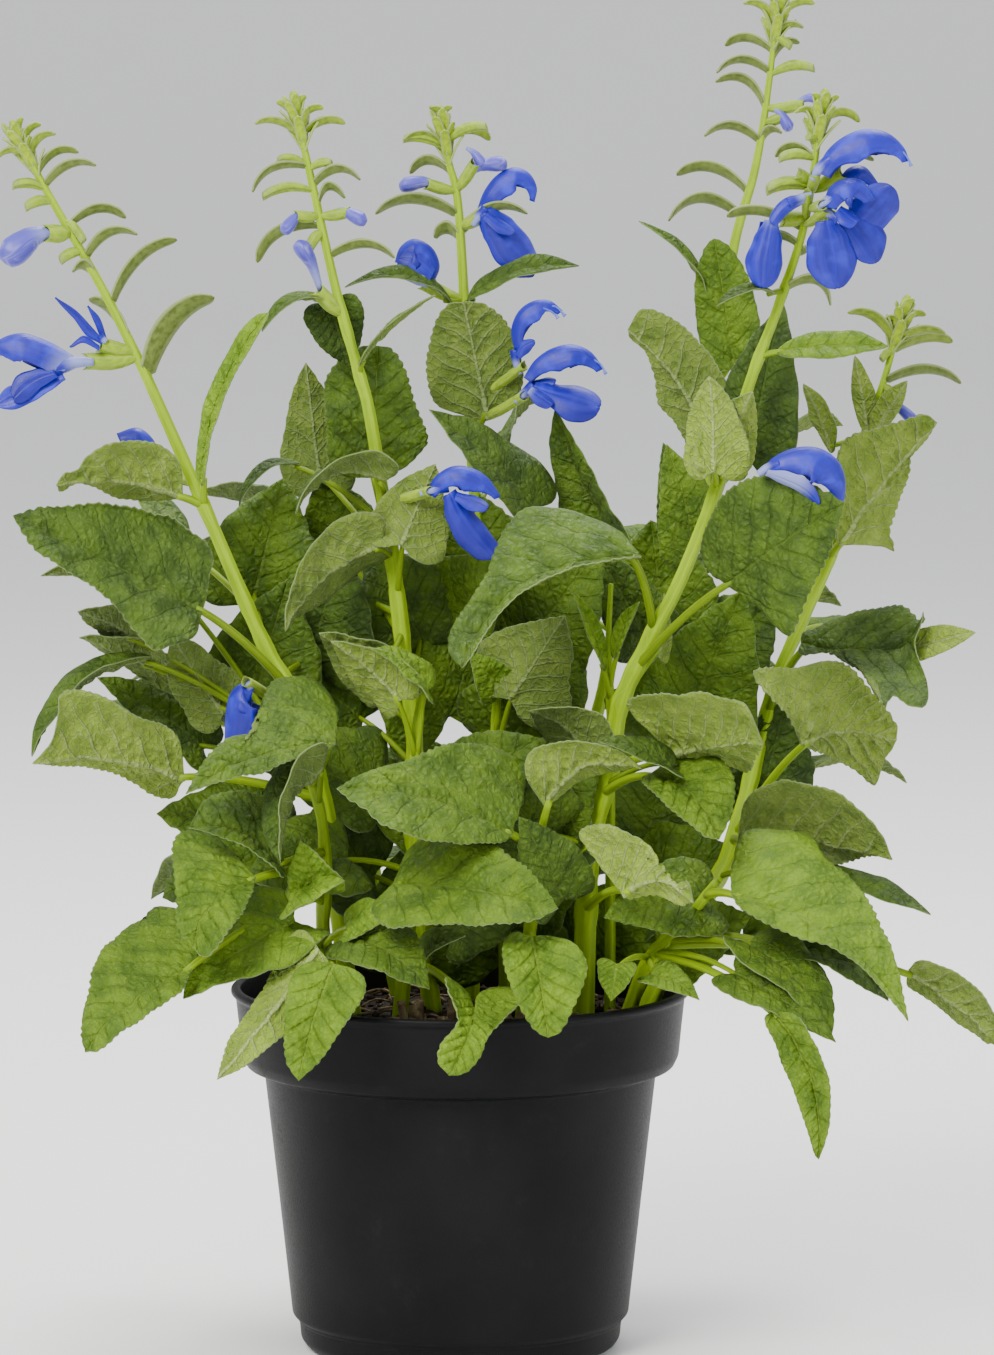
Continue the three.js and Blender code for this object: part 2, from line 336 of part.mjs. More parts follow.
const FLOWERS = [
  ['flower_left_open', [-118, -20, 324], [-1, -0.15, 0.05], 38, 'open'],
  ['flower_left_withered', [-114, -20, 331], [-0.75, 0, 0.6], 22, 'closed'],
  ['flower_left_behind', [-98, 4, 290], [-0.85, 0, 0.4], 14, 'closed'],
  ['flower_centre_top', [8, 42, 370], [0.75, -0.3, 0.45], 28, 'open'],
  ['flower_centre_bud', [-11, 42, 346], [-0.45, -0.3, 0.8], 16, 'closed'],
  ['flower_centre_upper', [20, 30, 318], [0.35, -0.1, 0.95], 25, 'open'],
  ['flower_centre_right', [18, 24, 309], [1, -0.2, 0.2], 29, 'open'],
  ['flower_low', [-8, -10, 281], [0.9, -0.3, 0], 27, 'open'],
  ['flower_hanging_bud', [-67, -40, 222], [-0.2, -0.3, -1], 18, 'closed'],
  ['flower_right_top', [113, -46, 384], [1, -0.1, 0.2], 30, 'open'],
  ['flower_right_mid', [116, -52, 380], [1, -0.4, 0], 24, 'open'],
  ['flower_right_low', [117, -50, 371], [0.7, -0.6, -0.1], 27, 'open'],
  ['flower_right_cup', [108, -46, 374], [-0.55, -0.3, -0.5], 26, 'closed'],
  ['flower_resting', [97, -60, 292], [0.95, -0.2, -0.05], 28, 'open'],
];

// ---- Materials ----

const finish = (color, roughness) => new THREE.MeshStandardMaterial({ color, roughness, metalness: 0 });
const POT_BLACK = () => finish(0x303134, 0.5);
const SOIL_BROWN = () => finish(0x3a2a1e, 0.95);
const STEM_GREEN = () => finish(0x9bb03e, 0.6);
const LEAF_GREEN = () => finish(0x5e7f35, 0.65);
const PETAL_BLUE = () => finish(0x3a4fd0, 0.45);

// ---- Solids ----

function toSolid(geometry) {
  const bare = geometry.clone();
  const extras = Object.keys(bare.attributes).filter((key) => key !== 'position');
  extras.forEach((key) => bare.deleteAttribute(key));
  const welded = mergeVertices(bare, 1e-4);
  return new wasm.Manifold(new wasm.Mesh({
    numProp: 3,
    vertProperties: new Float32Array(welded.attributes.position.array),
    triVerts: new Uint32Array(welded.index.array),
  }));
}

function toGeometry(solid) {
  const mesh = solid.getMesh();
  const geometry = new THREE.BufferGeometry();
  geometry.setAttribute('position', new THREE.BufferAttribute(mesh.vertProperties, 3));
  geometry.setIndex(new THREE.BufferAttribute(mesh.triVerts, 1));
  geometry.computeVertexNormals();
  return geometry;
}

const joined = (solids) => wasm.Manifold.union(solids);

// What is left of a solid after a cut is its largest piece, without slivers.
function largest(solid) {
  const pieces = solid.decompose();
  return pieces.reduce((best, piece) => (piece.volume() > best.volume() ? piece : best));
}

const vector = (place) => new THREE.Vector3(...place);

// A round or squarish rod bent along a curve, with a radius for each place along it.
function rod(curve, radiusAt, sides, steps, grow) {
  const geometry = new THREE.CylinderGeometry(1, 1, 1, sides, steps);
  const frames = curve.computeFrenetFrames(steps, false);
  const spots = geometry.attributes.position;
  for (let i = 0; i < spots.count; i += 1) {
    const step = Math.round((spots.getY(i) + 0.5) * steps);
    const radius = radiusAt(step / steps) + grow;
    const end = step === 0 ? -grow : grow * (step === steps ? 1 : 0);
    const place = curve.getPointAt(step / steps)
      .addScaledVector(frames.normals[step], spots.getX(i) * radius)
      .addScaledVector(frames.binormals[step], -spots.getZ(i) * radius)
      .addScaledVector(frames.tangents[step], end);
    spots.setXYZ(i, place.x, place.y, place.z);
  }
  return toSolid(geometry);
}

// A thin blade bent along a curve. side is the direction across it, and fold lifts both edges.
function ribbon({ curve, side, halfWidth, fold = 0, lobe = 0, thickness, across, along, grow }) {
  const geometry = new THREE.BoxGeometry(2, 1, 1, across, along, 1);
  const lift = Math.sin(THREE.MathUtils.degToRad(fold));
  const reach = Math.cos(THREE.MathUtils.degToRad(fold));
  const spots = geometry.attributes.position;
  for (let i = 0; i < spots.count; i += 1) {
    const across01 = spots.getX(i);
    const along01 = spots.getY(i) + 0.5;
    const tangent = curve.getTangent(along01);
    const up = new THREE.Vector3().crossVectors(side, tangent).normalize();
    const half = Math.max(halfWidth(along01), SPARE_LENGTH) + grow;
    const back = lobe * across01 * across01 * Math.sin(Math.PI * Math.min(1, 2.5 * along01));
    const end = along01 === 0 ? -grow : grow * (along01 === 1 ? 1 : 0);
    const rise = Math.abs(across01) * half * lift + spots.getZ(i) * (thickness + 2 * grow);
    const place = curve.getPoint(along01)
      .addScaledVector(side, across01 * half * reach)
      .addScaledVector(up, rise)
      .addScaledVector(tangent, end - back);
    spots.setXYZ(i, place.x, place.y, place.z);
  }
  return toSolid(geometry);
}

// The upper side's direction made square to the line from base to tip, and the direction across.
function frameOf(base, tip, facing) {
  const forward = new THREE.Vector3().subVectors(tip, base).normalize();
  const up = facing.clone().addScaledVector(forward, -facing.dot(forward)).normalize();
  const side = new THREE.Vector3().crossVectors(forward, up);
  return { forward, up, side };
}

function archedCurve(base, tip, up, arch) {
  const middle = new THREE.Vector3().lerpVectors(base, tip, 0.5).addScaledVector(up, 2 * arch);
  return new THREE.QuadraticBezierCurve3(base, middle, tip);
}

// Half widths along a blade, from 0 at its base and tip to 1 where it is widest, with how far the
// corners of its base reach back, as a share of its length.
const OUTLINES = {
  arrow: { half: (u) => Math.sin(Math.PI * u ** 0.45) ** 0.7, lobe: 0.2 },
  round: { half: (u) => Math.sin(Math.PI * u ** 0.62) ** 0.8, lobe: 0.1 },
  lance: { half: (u) => Math.sin(Math.PI * u ** 0.85) ** 0.7, lobe: 0 },
};
const lance = OUTLINES.lance.half;

// ---- Pot and soil ----

function pot() {
  const outer = [
    [0, 0], [BASE_RADIUS, 0], [BASE_RADIUS + 2.4, 0.9], [FOOT_RADIUS - 0.6, 3], [FOOT_RADIUS, FOOT_HEIGHT],
    [BODY_BOTTOM_RADIUS, FOOT_HEIGHT + 2],
    [BODY_TOP_RADIUS, POT_HEIGHT - BAND_HEIGHT - BAND_UNDERSIDE],
    [BAND_BOTTOM_RADIUS - 1.6, POT_HEIGHT - BAND_HEIGHT - BAND_UNDERSIDE + 1.6],
    [BAND_BOTTOM_RADIUS, POT_HEIGHT - BAND_HEIGHT],
    [BAND_TOP_RADIUS, POT_HEIGHT - 3], [POT_RIM_RADIUS, POT_HEIGHT - 2],
    [POT_RIM_RADIUS, POT_HEIGHT - 0.6], [POT_RIM_RADIUS - 0.6, POT_HEIGHT],
  ];
  const inner = [
    [BAND_TOP_RADIUS - POT_WALL, POT_HEIGHT], [BAND_BOTTOM_RADIUS - POT_WALL, POT_HEIGHT - BAND_HEIGHT],
    [BODY_TOP_RADIUS - POT_WALL, POT_HEIGHT - BAND_HEIGHT - BAND_UNDERSIDE - 1],
    [BODY_BOTTOM_RADIUS - POT_WALL, FOOT_HEIGHT], [FOOT_RADIUS - 4, POT_FLOOR + 2],
    [FOOT_RADIUS - 7, POT_FLOOR], [0, POT_FLOOR],
  ];
  const profile = [...outer, ...inner].map(([x, y]) => new THREE.Vector2(x, y));
  const turned = new THREE.LatheGeometry(profile, POT_SIDES).rotateX(Math.PI / 2);
  const notches = Array.from({ length: NOTCHES }, (_, i) => {
    const block = new THREE.BoxGeometry(NOTCH_WIDTH, 2 * NOTCH_DEPTH, 2 * NOTCH_HEIGHT);
    block.translate(0, -BASE_RADIUS - 1, 0).rotateZ((i * 2 * Math.PI) / NOTCHES);
    return toSolid(block);
  });
  return toSolid(turned).subtract(joined(notches));
}

function soil() {
  const soilRim = THREE.MathUtils.mapLinear(
    SOIL_TOP, POT_HEIGHT - BAND_HEIGHT, POT_HEIGHT, BAND_BOTTOM_RADIUS, BAND_TOP_RADIUS) - POT_WALL - GAP;
  const profile = [
    [0, POT_FLOOR + GAP], [FOOT_RADIUS - 8, POT_FLOOR + GAP], [FOOT_RADIUS - 5, POT_FLOOR + 2.6],
    [BODY_BOTTOM_RADIUS - POT_WALL - GAP, FOOT_HEIGHT + 1],
    [BODY_TOP_RADIUS - POT_WALL - GAP, POT_HEIGHT - BAND_HEIGHT - BAND_UNDERSIDE - 1],
    [BAND_BOTTOM_RADIUS - POT_WALL - 2 * GAP, POT_HEIGHT - BAND_HEIGHT],
    [soilRim, SOIL_TOP - 1], [soilRim - 2, SOIL_TOP], [0, SOIL_TOP + SOIL_DOME],
  ].map(([x, y]) => new THREE.Vector2(x, y));
  return toSolid(new THREE.LatheGeometry(profile, POT_SIDES).rotateX(Math.PI / 2));
}

// ---- Plant ----

const stemCurves = Object.fromEntries(STEMS.map(
  ([name, , , points]) => [name, new THREE.CatmullRomCurve3(points.map(vector))]));

// The place on a stem at a given height: stems rise all the way, so halving finds it.
function stemAt(stem, height) {
  let low = 0;
  let high = 1;
  for (let i = 0; i < 20; i += 1) {
    const middle = (low + high) / 2;
    if (stemCurves[stem].getPoint(middle).z < height) low = middle;
    else high = middle;
  }
  return stemCurves[stem].getPoint(low);
}

function stemRod([name, bottom, top], grow) {
  const radiusAt = (t) => THREE.MathUtils.lerp(bottom, top, t);
  return rod(stemCurves[name], radiusAt, 4, 9, grow);
}

// A large leaf is folded and lobed; a small one is a flat blade.
function leaf([stem, height, base, tip, width, facing, arch, fold, form], large, grow) {
  const across = large ? 2 : 1;
  const start = stemAt(stem, height);
  const root = vector(base);
  const { forward, up, side } = frameOf(root, vector(tip), vector(facing));
  const length = root.distanceTo(vector(tip));
  const narrow = width < NARROW_SHARE * length ? 'lance' : 'arrow';
  const outline = OUTLINES[form ?? narrow];
  const blade = ribbon({
    curve: archedCurve(root, vector(tip), up, arch), side, thickness: LEAF_THICKNESS, grow,
    halfWidth: (u) => (width / 2) * outline.half(u), across, along: large ? LARGE_STEPS : SMALL_STEPS,
    fold: large ? fold : 0, lobe: large ? outline.lobe * length : 0,
  });
  const inside = root.clone().addScaledVector(forward, STALK_INSIDE);
  const bend = new THREE.Vector3().lerpVectors(start, root, 0.6);
  bend.z += 0.1 * start.distanceTo(root);
  const stalk = rod(new THREE.QuadraticBezierCurve3(start, bend, inside), () => PETIOLE_RADIUS, 3, 2, grow);
  return joined([blade, stalk]);
}

function bract(stem, [height, across, up, width, arch], order, grow) {
  const start = stemAt(stem, height);
  const lean = (order % 2 ? 1 : -1) * BRACT_LEAN * Math.abs(across - start.x);
  const tip = new THREE.Vector3(across, start.y + lean, up);
  const frame = frameOf(start, tip, new THREE.Vector3(start.x > across ? 0.4 : -0.4, 0, 1));
  const turn = THREE.MathUtils.degToRad(BRACT_TURN) * Math.sign(frame.side.y);
  return ribbon({
    curve: archedCurve(start, tip, frame.up, arch),
    side: frame.side.clone().applyAxisAngle(frame.forward, turn),
    halfWidth: (u) => (width / 2) * Math.max(lance(u), 1 - 3 * u), thickness: BRACT_THICKNESS,
    across: 1, along: 2, grow,
  });
}

// A small spindle: a calyx still closed round its bud, or the bud itself.
function spindle(start, end, radius, grow) {
  const radiusAt = (t) => radius * (0.5 + 0.6 * Math.sin(Math.PI * t) - 0.15 * t);
  return rod(new THREE.LineCurve3(start, end), radiusAt, 4, 2, grow);
}

function calyx(stem, [height, across, up, radius], grow) {
  const start = stemAt(stem, height);
  return spindle(start, new THREE.Vector3(across, start.y - 2, up), radius, grow);
}

const bud = ([, base, tip, radius], grow) => spindle(vector(base), vector(tip), radius, grow);

function flower([, root, way, length, form], grow) {
  const start = vector(root);
  const tip = start.clone().addScaledVector(vector(way).normalize(), length);
  const { forward, up, side } = frameOf(start, tip, new THREE.Vector3(-0.3 * Math.sign(way[0]), 0, 1));
  const at = (ahead, above) => start.clone()
    .addScaledVector(forward, ahead * length).addScaledVector(up, above * length);
  const tube = rod(
    new THREE.CatmullRomCurve3([at(0, 0), at(0.2, 0.02), at(0.42, 0.04)]),
    (t) => length * (0.05 + 0.05 * t), 5, 2, grow);
  if (form === 'closed') {
    const swelling = rod(
      new THREE.CatmullRomCurve3([at(0.2, 0.02), at(0.55, 0.08), at(0.85, 0.04), at(1, -0.06)]),
      (t) => length * (0.07 + 0.12 * Math.sin(Math.PI * t ** 0.8)), 6, 4, grow);
    return joined([tube, swelling]);
  }
  const hood = ribbon({
    curve: new THREE.CatmullRomCurve3([at(0.3, 0.06), at(0.55, 0.24), at(0.82, 0.26), at(1, 0.08)]),
    side, fold: -50, halfWidth: (u) => length * (0.1 + 0.09 * Math.sin(Math.PI * u)) * (1 - 0.4 * u),
    thickness: PETAL_THICKNESS, across: 2, along: 4, grow,
  });
  const lip = ribbon({
    curve: new THREE.CatmullRomCurve3([at(0.3, 0), at(0.5, -0.1), at(0.64, -0.3), at(0.68, -0.52)]),
    side, fold: 14, halfWidth: (u) => length * (0.08 + 0.17 * u), thickness: PETAL_THICKNESS,
    across: 2, along: 3, grow,
  });
  return joined([tube, hood, lip]);
}

// ---- Assembly: each new piece is cut back where it would touch an earlier one ----

const plant = new THREE.Group();
const earlier = [];

function place(name, solid, material, grown) {
  const mesh = new THREE.Mesh(toGeometry(largest(solid.simplify(SMOOTHING))), material);
  mesh.name = name;
  plant.add(mesh);
  earlier.push(grown);
}

const clearOf = (solid, others) => (others.length ? solid.subtract(joined(others)) : solid);

const potSolid = pot();
place('pot', potSolid, POT_BLACK(), potSolid);
const soilSolid = soil();
place('soil', soilSolid, SOIL_BROWN(), soilSolid);

const raisedSoil = soilSolid.translate([0, 0, GAP]);

const bareStems = STEMS.map((stem) => stemRod(stem, GAP));
const growthOn = (name, grow) => [
  ...SMALL_LEAVES.filter(([stem]) => stem === name).map((row) => leaf(row, false, grow)),
  ...(BRACTS[name] ?? []).map((row, order) => bract(name, row, order, grow)),
  ...(CALYCES[name] ?? []).map((row) => calyx(name, row, grow)),
  ...BUDS.filter(([stem]) => stem === name).map((row) => bud(row, grow)),
];

STEMS.forEach((stem, index) => {
  const [name] = stem;
  const otherStems = bareStems.filter((_, other) => other !== index);
  const growth = clearOf(joined(growthOn(name, 0)), [...otherStems, ...earlier]);
  const solid = largest(clearOf(joined([stemRod(stem, 0), growth]), [raisedSoil]));
  place(name, solid, STEM_GREEN(), joined([bareStems[index], ...growthOn(name, GAP)]));
});

FLOWERS.forEach((row) => {
  place(row[0], largest(clearOf(flower(row, 0), earlier)), PETAL_BLUE(), flower(row, GAP));
});

LARGE_LEAVES.forEach(([name, ...row]) => {
  place(name, largest(clearOf(leaf(row, true, 0), earlier)), LEAF_GREEN(), leaf(row, true, GAP));
});

export default plant;
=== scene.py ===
import math
import random

import bmesh
import bpy
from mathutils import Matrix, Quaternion, Vector, noise


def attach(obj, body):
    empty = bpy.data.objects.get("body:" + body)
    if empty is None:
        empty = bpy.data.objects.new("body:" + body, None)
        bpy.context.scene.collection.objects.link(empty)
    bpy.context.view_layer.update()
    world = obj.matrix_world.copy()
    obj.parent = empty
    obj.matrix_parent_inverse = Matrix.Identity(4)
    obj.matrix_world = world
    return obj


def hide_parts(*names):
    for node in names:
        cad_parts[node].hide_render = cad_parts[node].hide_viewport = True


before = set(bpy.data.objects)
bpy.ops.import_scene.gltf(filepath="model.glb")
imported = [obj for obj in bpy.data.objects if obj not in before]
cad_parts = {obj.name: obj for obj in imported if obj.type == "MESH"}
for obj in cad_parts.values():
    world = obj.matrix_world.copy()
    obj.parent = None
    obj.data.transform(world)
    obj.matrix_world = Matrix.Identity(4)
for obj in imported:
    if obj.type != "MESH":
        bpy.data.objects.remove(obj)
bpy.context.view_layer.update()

# A potted perennial sage with large hooded blue flowers, in its black nursery pot.
# All shapes are set out in millimetres and made into metres when a piece is finished.

MM = 0.001

# ---- Pot ----

POT_HEIGHT = 119
POT_RIM_RADIUS = 75
POT_WALL = 1.6
POT_FLOOR = 2.4
BAND_HEIGHT = 22.4
BAND_TOP_RADIUS = 73.5
BAND_BOTTOM_RADIUS = 71.5
BODY_TOP_RADIUS = 64.2
BODY_BOTTOM_RADIUS = 55.2
FOOT_HEIGHT = 9
FOOT_RADIUS = 53
BASE_RADIUS = 48.5
NOTCH_HALF_WIDTH = 11
NOTCH_HEIGHT = 1.8
NOTCHES = 4
POT_STEPS = 144
SOIL_TOP = 108
SOIL_DOME = 1.5
SOIL_RADIUS = 71
CRUMBS = 420
FIBRES = 150
STEM_STUBS = 34

# ---- Leaves, bracts and flowers ----

LEAF_THICKNESS = 0.55
PETAL_THICKNESS = 0.4
BRACT_THICKNESS = 0.6
HOOD_DEPTH = 0.56                 # a hood's depth as a share of half its unrolled width
LARGE_STALK = 1.35                # radius of a leaf's own stalk
SMALL_STALK = 0.95
NARROW_SHARE = 0.35               # a blade narrower than this share of its length is lance-shaped
EDGE_CURL = 0.1                   # how far a blade's edges bend down, as a share of half its width
LARGE_CUTS = (32, 76)             # faces across and along a blade
SMALL_CUTS = (14, 32)
TIP_CUTS = (10, 24)
NARROW_CUTS = (8, 24)
NARROW_WIDTH = 14                 # small leaves up to this wide get the fewest faces
LEAF_DRAW = 11                    # starts of the random draws
SOIL_DRAW = 5
TIP_BEND_FROM = 0.7               # where a tip that bends up starts, as a share of the blade's length
VEIN_SPACING = 0.165              # side veins, as a share of the blade's length
VEIN_LEAN = 0.8                   # how far a side vein rises for each millimetre from the midrib
VEIN_SWAY = 0.5
VEIN_SWAY_RATE = 0.55
VEIN_SLANT = 0.78                 # the distance square to a leaning vein, as a share of that along the blade
BUD_TONE = -0.05
BUD_REACH = 7                     # a calyx is open if a bud starts nearer to its mouth than this
TUBE_REACH = 9                    # or a flower's tube nearer than this
BRACT_TURN = 45                   # degrees that a bract's upper side is turned towards the front
BRACT_HALVES = [0.7, 0.8, 0.92, 1.0, 1.02, 1.0, 0.97, 0.93, 0.88, 0.8]
CROWN_BRACTS = 12                 # small bracts round the tip of each flowering stem
BUD_RADII = [0.4, 0.5, 0.62, 0.78, 0.95, 1.1, 1.18, 1.16, 1.02, 0.74, 0.22]

# ---- Stems: name, radius at the soil, radius at the top, points upwards from the soil ----

STEMS = [
    ["stem_left", 2.7, 0.9, [
      [-35, 0, 106], [-40, -10, 148], [-43, -16, 175], [-52, -16, 211], [-64, -14, 234],
      [-82, -14, 276], [-95, -15, 306], [-103, -16, 324], [-115, -17, 348], [-133, -18, 380],
      [-143, -18, 399]]],
    ["stem_mid_left", 2.8, 0.9, [
      [-9, 12, 106], [-15, 8, 159], [-15, 6, 199], [-18, 5, 225], [-22, 4, 258],
      [-29, 2, 304], [-33, 1, 320], [-40, 0, 346], [-48, 0, 382], [-54, 0, 408]]],
    ["stem_centre", 2.5, 0.8, [
      [3, 30, 106], [6, 33, 159], [7, 37, 209], [6, 40, 255], [3, 42, 301],
      [1, 43, 344], [-1, 44, 374], [-4, 44, 387], [-7, 44, 403]]],
    ["stem_back_right", 2.6, 0.8, [
      [29, 32, 106], [46, 44, 158], [67, 56, 224], [80, 62, 273], [86, 65, 317],
      [91, 67, 357], [98, 68, 383], [102, 69, 407], [106, 70, 441]]],
    ["stem_front_right", 3.3, 0.9, [
      [40, -6, 106], [41, -8, 145], [43, -10, 169], [49, -12, 194], [52, -14, 213],
      [61, -18, 234], [71, -22, 254], [83, -28, 286], [93, -32, 319], [102, -35, 344],
      [110, -38, 371], [115, -40, 409]]],
    ["stem_far_right", 2.8, 0.8, [
      [59, 4, 106], [75, 8, 139], [88, 12, 160], [100, 18, 203], [104, 20, 218],
      [114, 22, 240], [123, 24, 261], [132, 26, 295], [139, 28, 315], [146, 30, 341]]],
    ["shoot_front_left", 2.3, 1.2, [
      [-42, -6, 106], [-44, -30, 141], [-43, -38, 159], [-44, -42, 179], [-48, -46, 195]]],
    ["shoot_mid_left", 2.3, 1.1, [
      [-20, -4, 106], [-16, -14, 149], [-14, -18, 182], [-14, -20, 205], [-10, -22, 225]]],
    ["shoot_centre", 2.0, 0.9, [
      [15, 6, 106], [14, 8, 153], [12, 8, 192], [12, 8, 213], [15, 8, 225]]],
    ["shoot_front_centre", 2.2, 1.2, [
      [20, -6, 106], [22, -24, 134], [24, -36, 158], [24, -42, 175]]],
    ["shoot_front_right", 2.3, 1.2, [
      [53, -10, 106], [61, -28, 131], [74, -42, 148], [82, -50, 160]]],
    ["shoot_young", 1.7, 0.7, [
      [49, 4, 106], [49, 2, 160], [49, -1, 208], [48, -2, 226], [49, -3, 251]]],
    ["shoot_back_left", 2.4, 0.9, [
      [-20, 34, 106], [-31, 56, 156], [-39, 70, 205], [-46, 80, 252], [-47, 81, 262]]],
    ["shoot_back_right", 2.4, 0.9, [
      [13, 44, 106], [33, 66, 155], [47, 82, 204], [54, 90, 251], [55, 91, 260]]],
]

# ---- Leaves: name, stem, height where it leaves the stem, blade base, blade tip, width,
#      where the upper side looks, arch of the midrib, fold of each half in degrees ----

LARGE_LEAVES = [
    ["leaf_left_big", "stem_left", 218, [-82, -34, 245], [-141, -52, 277], 50,
      [-0.1, -0.72, 0.68], 1, 14],
    ["leaf_left_pale", "stem_left", 277, [-89, -16, 280], [-129, -30, 285], 25,
      [0.1, 0.8, 0.6], 2, 16],
    ["leaf_left_upright", "stem_left", 277, [-83, -20, 284], [-61, -28, 340], 13,
      [-0.7, -0.7, 0.2], 5, 24],
    ["leaf_left_low_pale", "stem_left", 182, [-88, -36, 191], [-135, -60, 199], 34,
      [-0.1, 0.85, 0.5], 2, 16],
    ["leaf_left_front", "shoot_front_left", 190, [-39, -56, 205], [-85, -90, 193], 36,
      [0, -0.62, 0.78], 3, 12],
    ["leaf_left_dark", "shoot_front_left", 168, [-55, -62, 165], [-85, -72, 180], 23,
      [-0.1, -0.65, 0.7], 4, 14],
    ["leaf_left_side", "shoot_front_left", 160, [-64, -70, 164], [-83, -92, 145], 37,
      [-0.2, -0.7, 0.66], 2, 12],
    ["leaf_left_bottom", "shoot_front_left", 154, [-84, -76, 136], [-116, -104, 114], 38,
      [-0.35, -0.62, 0.7], 1, 12],
    ["leaf_left_rim", "shoot_front_left", 122, [-44, -76, 142], [-75, -104, 105], 24,
      [0.4, 0.85, -0.2], 4, 24],
    ["leaf_rim_left", "shoot_front_left", 128, [-39, -80, 138], [-50, -94, 103], 23,
      [-0.15, -0.92, 0.3], 5, 10],
    ["leaf_centre_big", "shoot_front_centre", 167, [17, -58, 176], [-38, -84, 194], 50,
      [0, -0.66, 0.74], 3, 12],
    ["leaf_centre_low", "shoot_mid_left", 150, [-21, -62, 161], [31, -90, 157], 44,
      [0, -0.68, 0.72], 3, 12],
    ["leaf_rim_centre", "shoot_front_centre", 133, [23, -82, 147], [28, -96, 117], 26,
      [0.05, -0.94, 0.3], 5, 12],
    ["leaf_rim_twisted", "shoot_mid_left", 128, [5, -80, 124], [-3, -96, 105], 25,
      [0.4, -0.8, 0.4], 5, 14],
    ["leaf_centre_pale", "stem_front_right", 145, [52, -64, 157], [74, -78, 157], 29,
      [-0.1, 0.9, 0.4], 3, 12],
    ["leaf_centre_right_pale", "shoot_front_centre", 160, [27, -50, 184], [58, -56, 197], 22,
      [-0.25, 0.7, 0.6], 5, 16],
    ["leaf_arch_big", "stem_front_right", 237, [58, -36, 263], [1, -66, 230], 31,
      [-0.1, -0.6, 0.78], 3, 14],
    ["leaf_centre_round", "stem_centre", 296, [9, 34, 302], [1, 30, 341], 31,
      [0, 0.97, 0.1], 2, 10],
    ["leaf_behind_left", "stem_mid_left", 264, [-29, 16, 284], [-27, 22, 327], 34,
      [0.05, -0.97, -0.1], 2, 10],
    ["leaf_right_broad", "stem_front_right", 224, [85, -44, 254], [121, -66, 282], 50,
      [0.1, -0.9, 0.4], 4, 10],
    ["leaf_far_right_pale", "stem_far_right", 258, [124, 14, 262], [155, 4, 303], 39,
      [-0.35, 0.9, 0.2], 4, 14],
    ["leaf_right_veined", "stem_front_right", 283, [81, -18, 292], [54, -14, 334], 23,
      [0.3, 0.9, 0.1], 3, 12],
    ["leaf_right_heart", "stem_far_right", 166, [110, -14, 200], [142, -4, 200], 46,
      [-0.2, 0.85, 0.4], 4, 10],
    ["leaf_right_curled", "stem_far_right", 206, [111, 4, 231], [154, -16, 233], 52,
      [0.1, -0.62, 0.8], 3, 12],
    ["leaf_right_lit", "shoot_front_right", 155, [86, -66, 158], [140, -100, 123], 41,
      [0.28, -0.62, 0.72], 3, 12],
    ["leaf_right_low_pale", "stem_far_right", 165, [90, -10, 167], [139, -34, 165], 46,
      [0.15, 0.65, 0.7], 2, 14],
    ["leaf_right_end", "shoot_front_right", 137, [143, -44, 130], [172, -62, 109], 20,
      [0.35, 0.7, 0.6], 1, 10],
    ["leaf_right_hanging", "shoot_front_right", 134, [98, -88, 124], [112, -104, 80], 15,
      [-0.6, -0.7, 0.3], 2, 22],
    ["leaf_mid_right", "stem_front_right", 191, [67, -40, 199], [96, -64, 206], 45,
      [0.1, 0.7, 0.65], 2, 14],
    ["leaf_mid_right_low", "stem_front_right", 183, [61, -44, 194], [82, -70, 176], 27,
      [0.25, -0.72, 0.64], 3, 12],
]

# Smaller leaves by their stem: the same columns from the height on, and the outline of some.

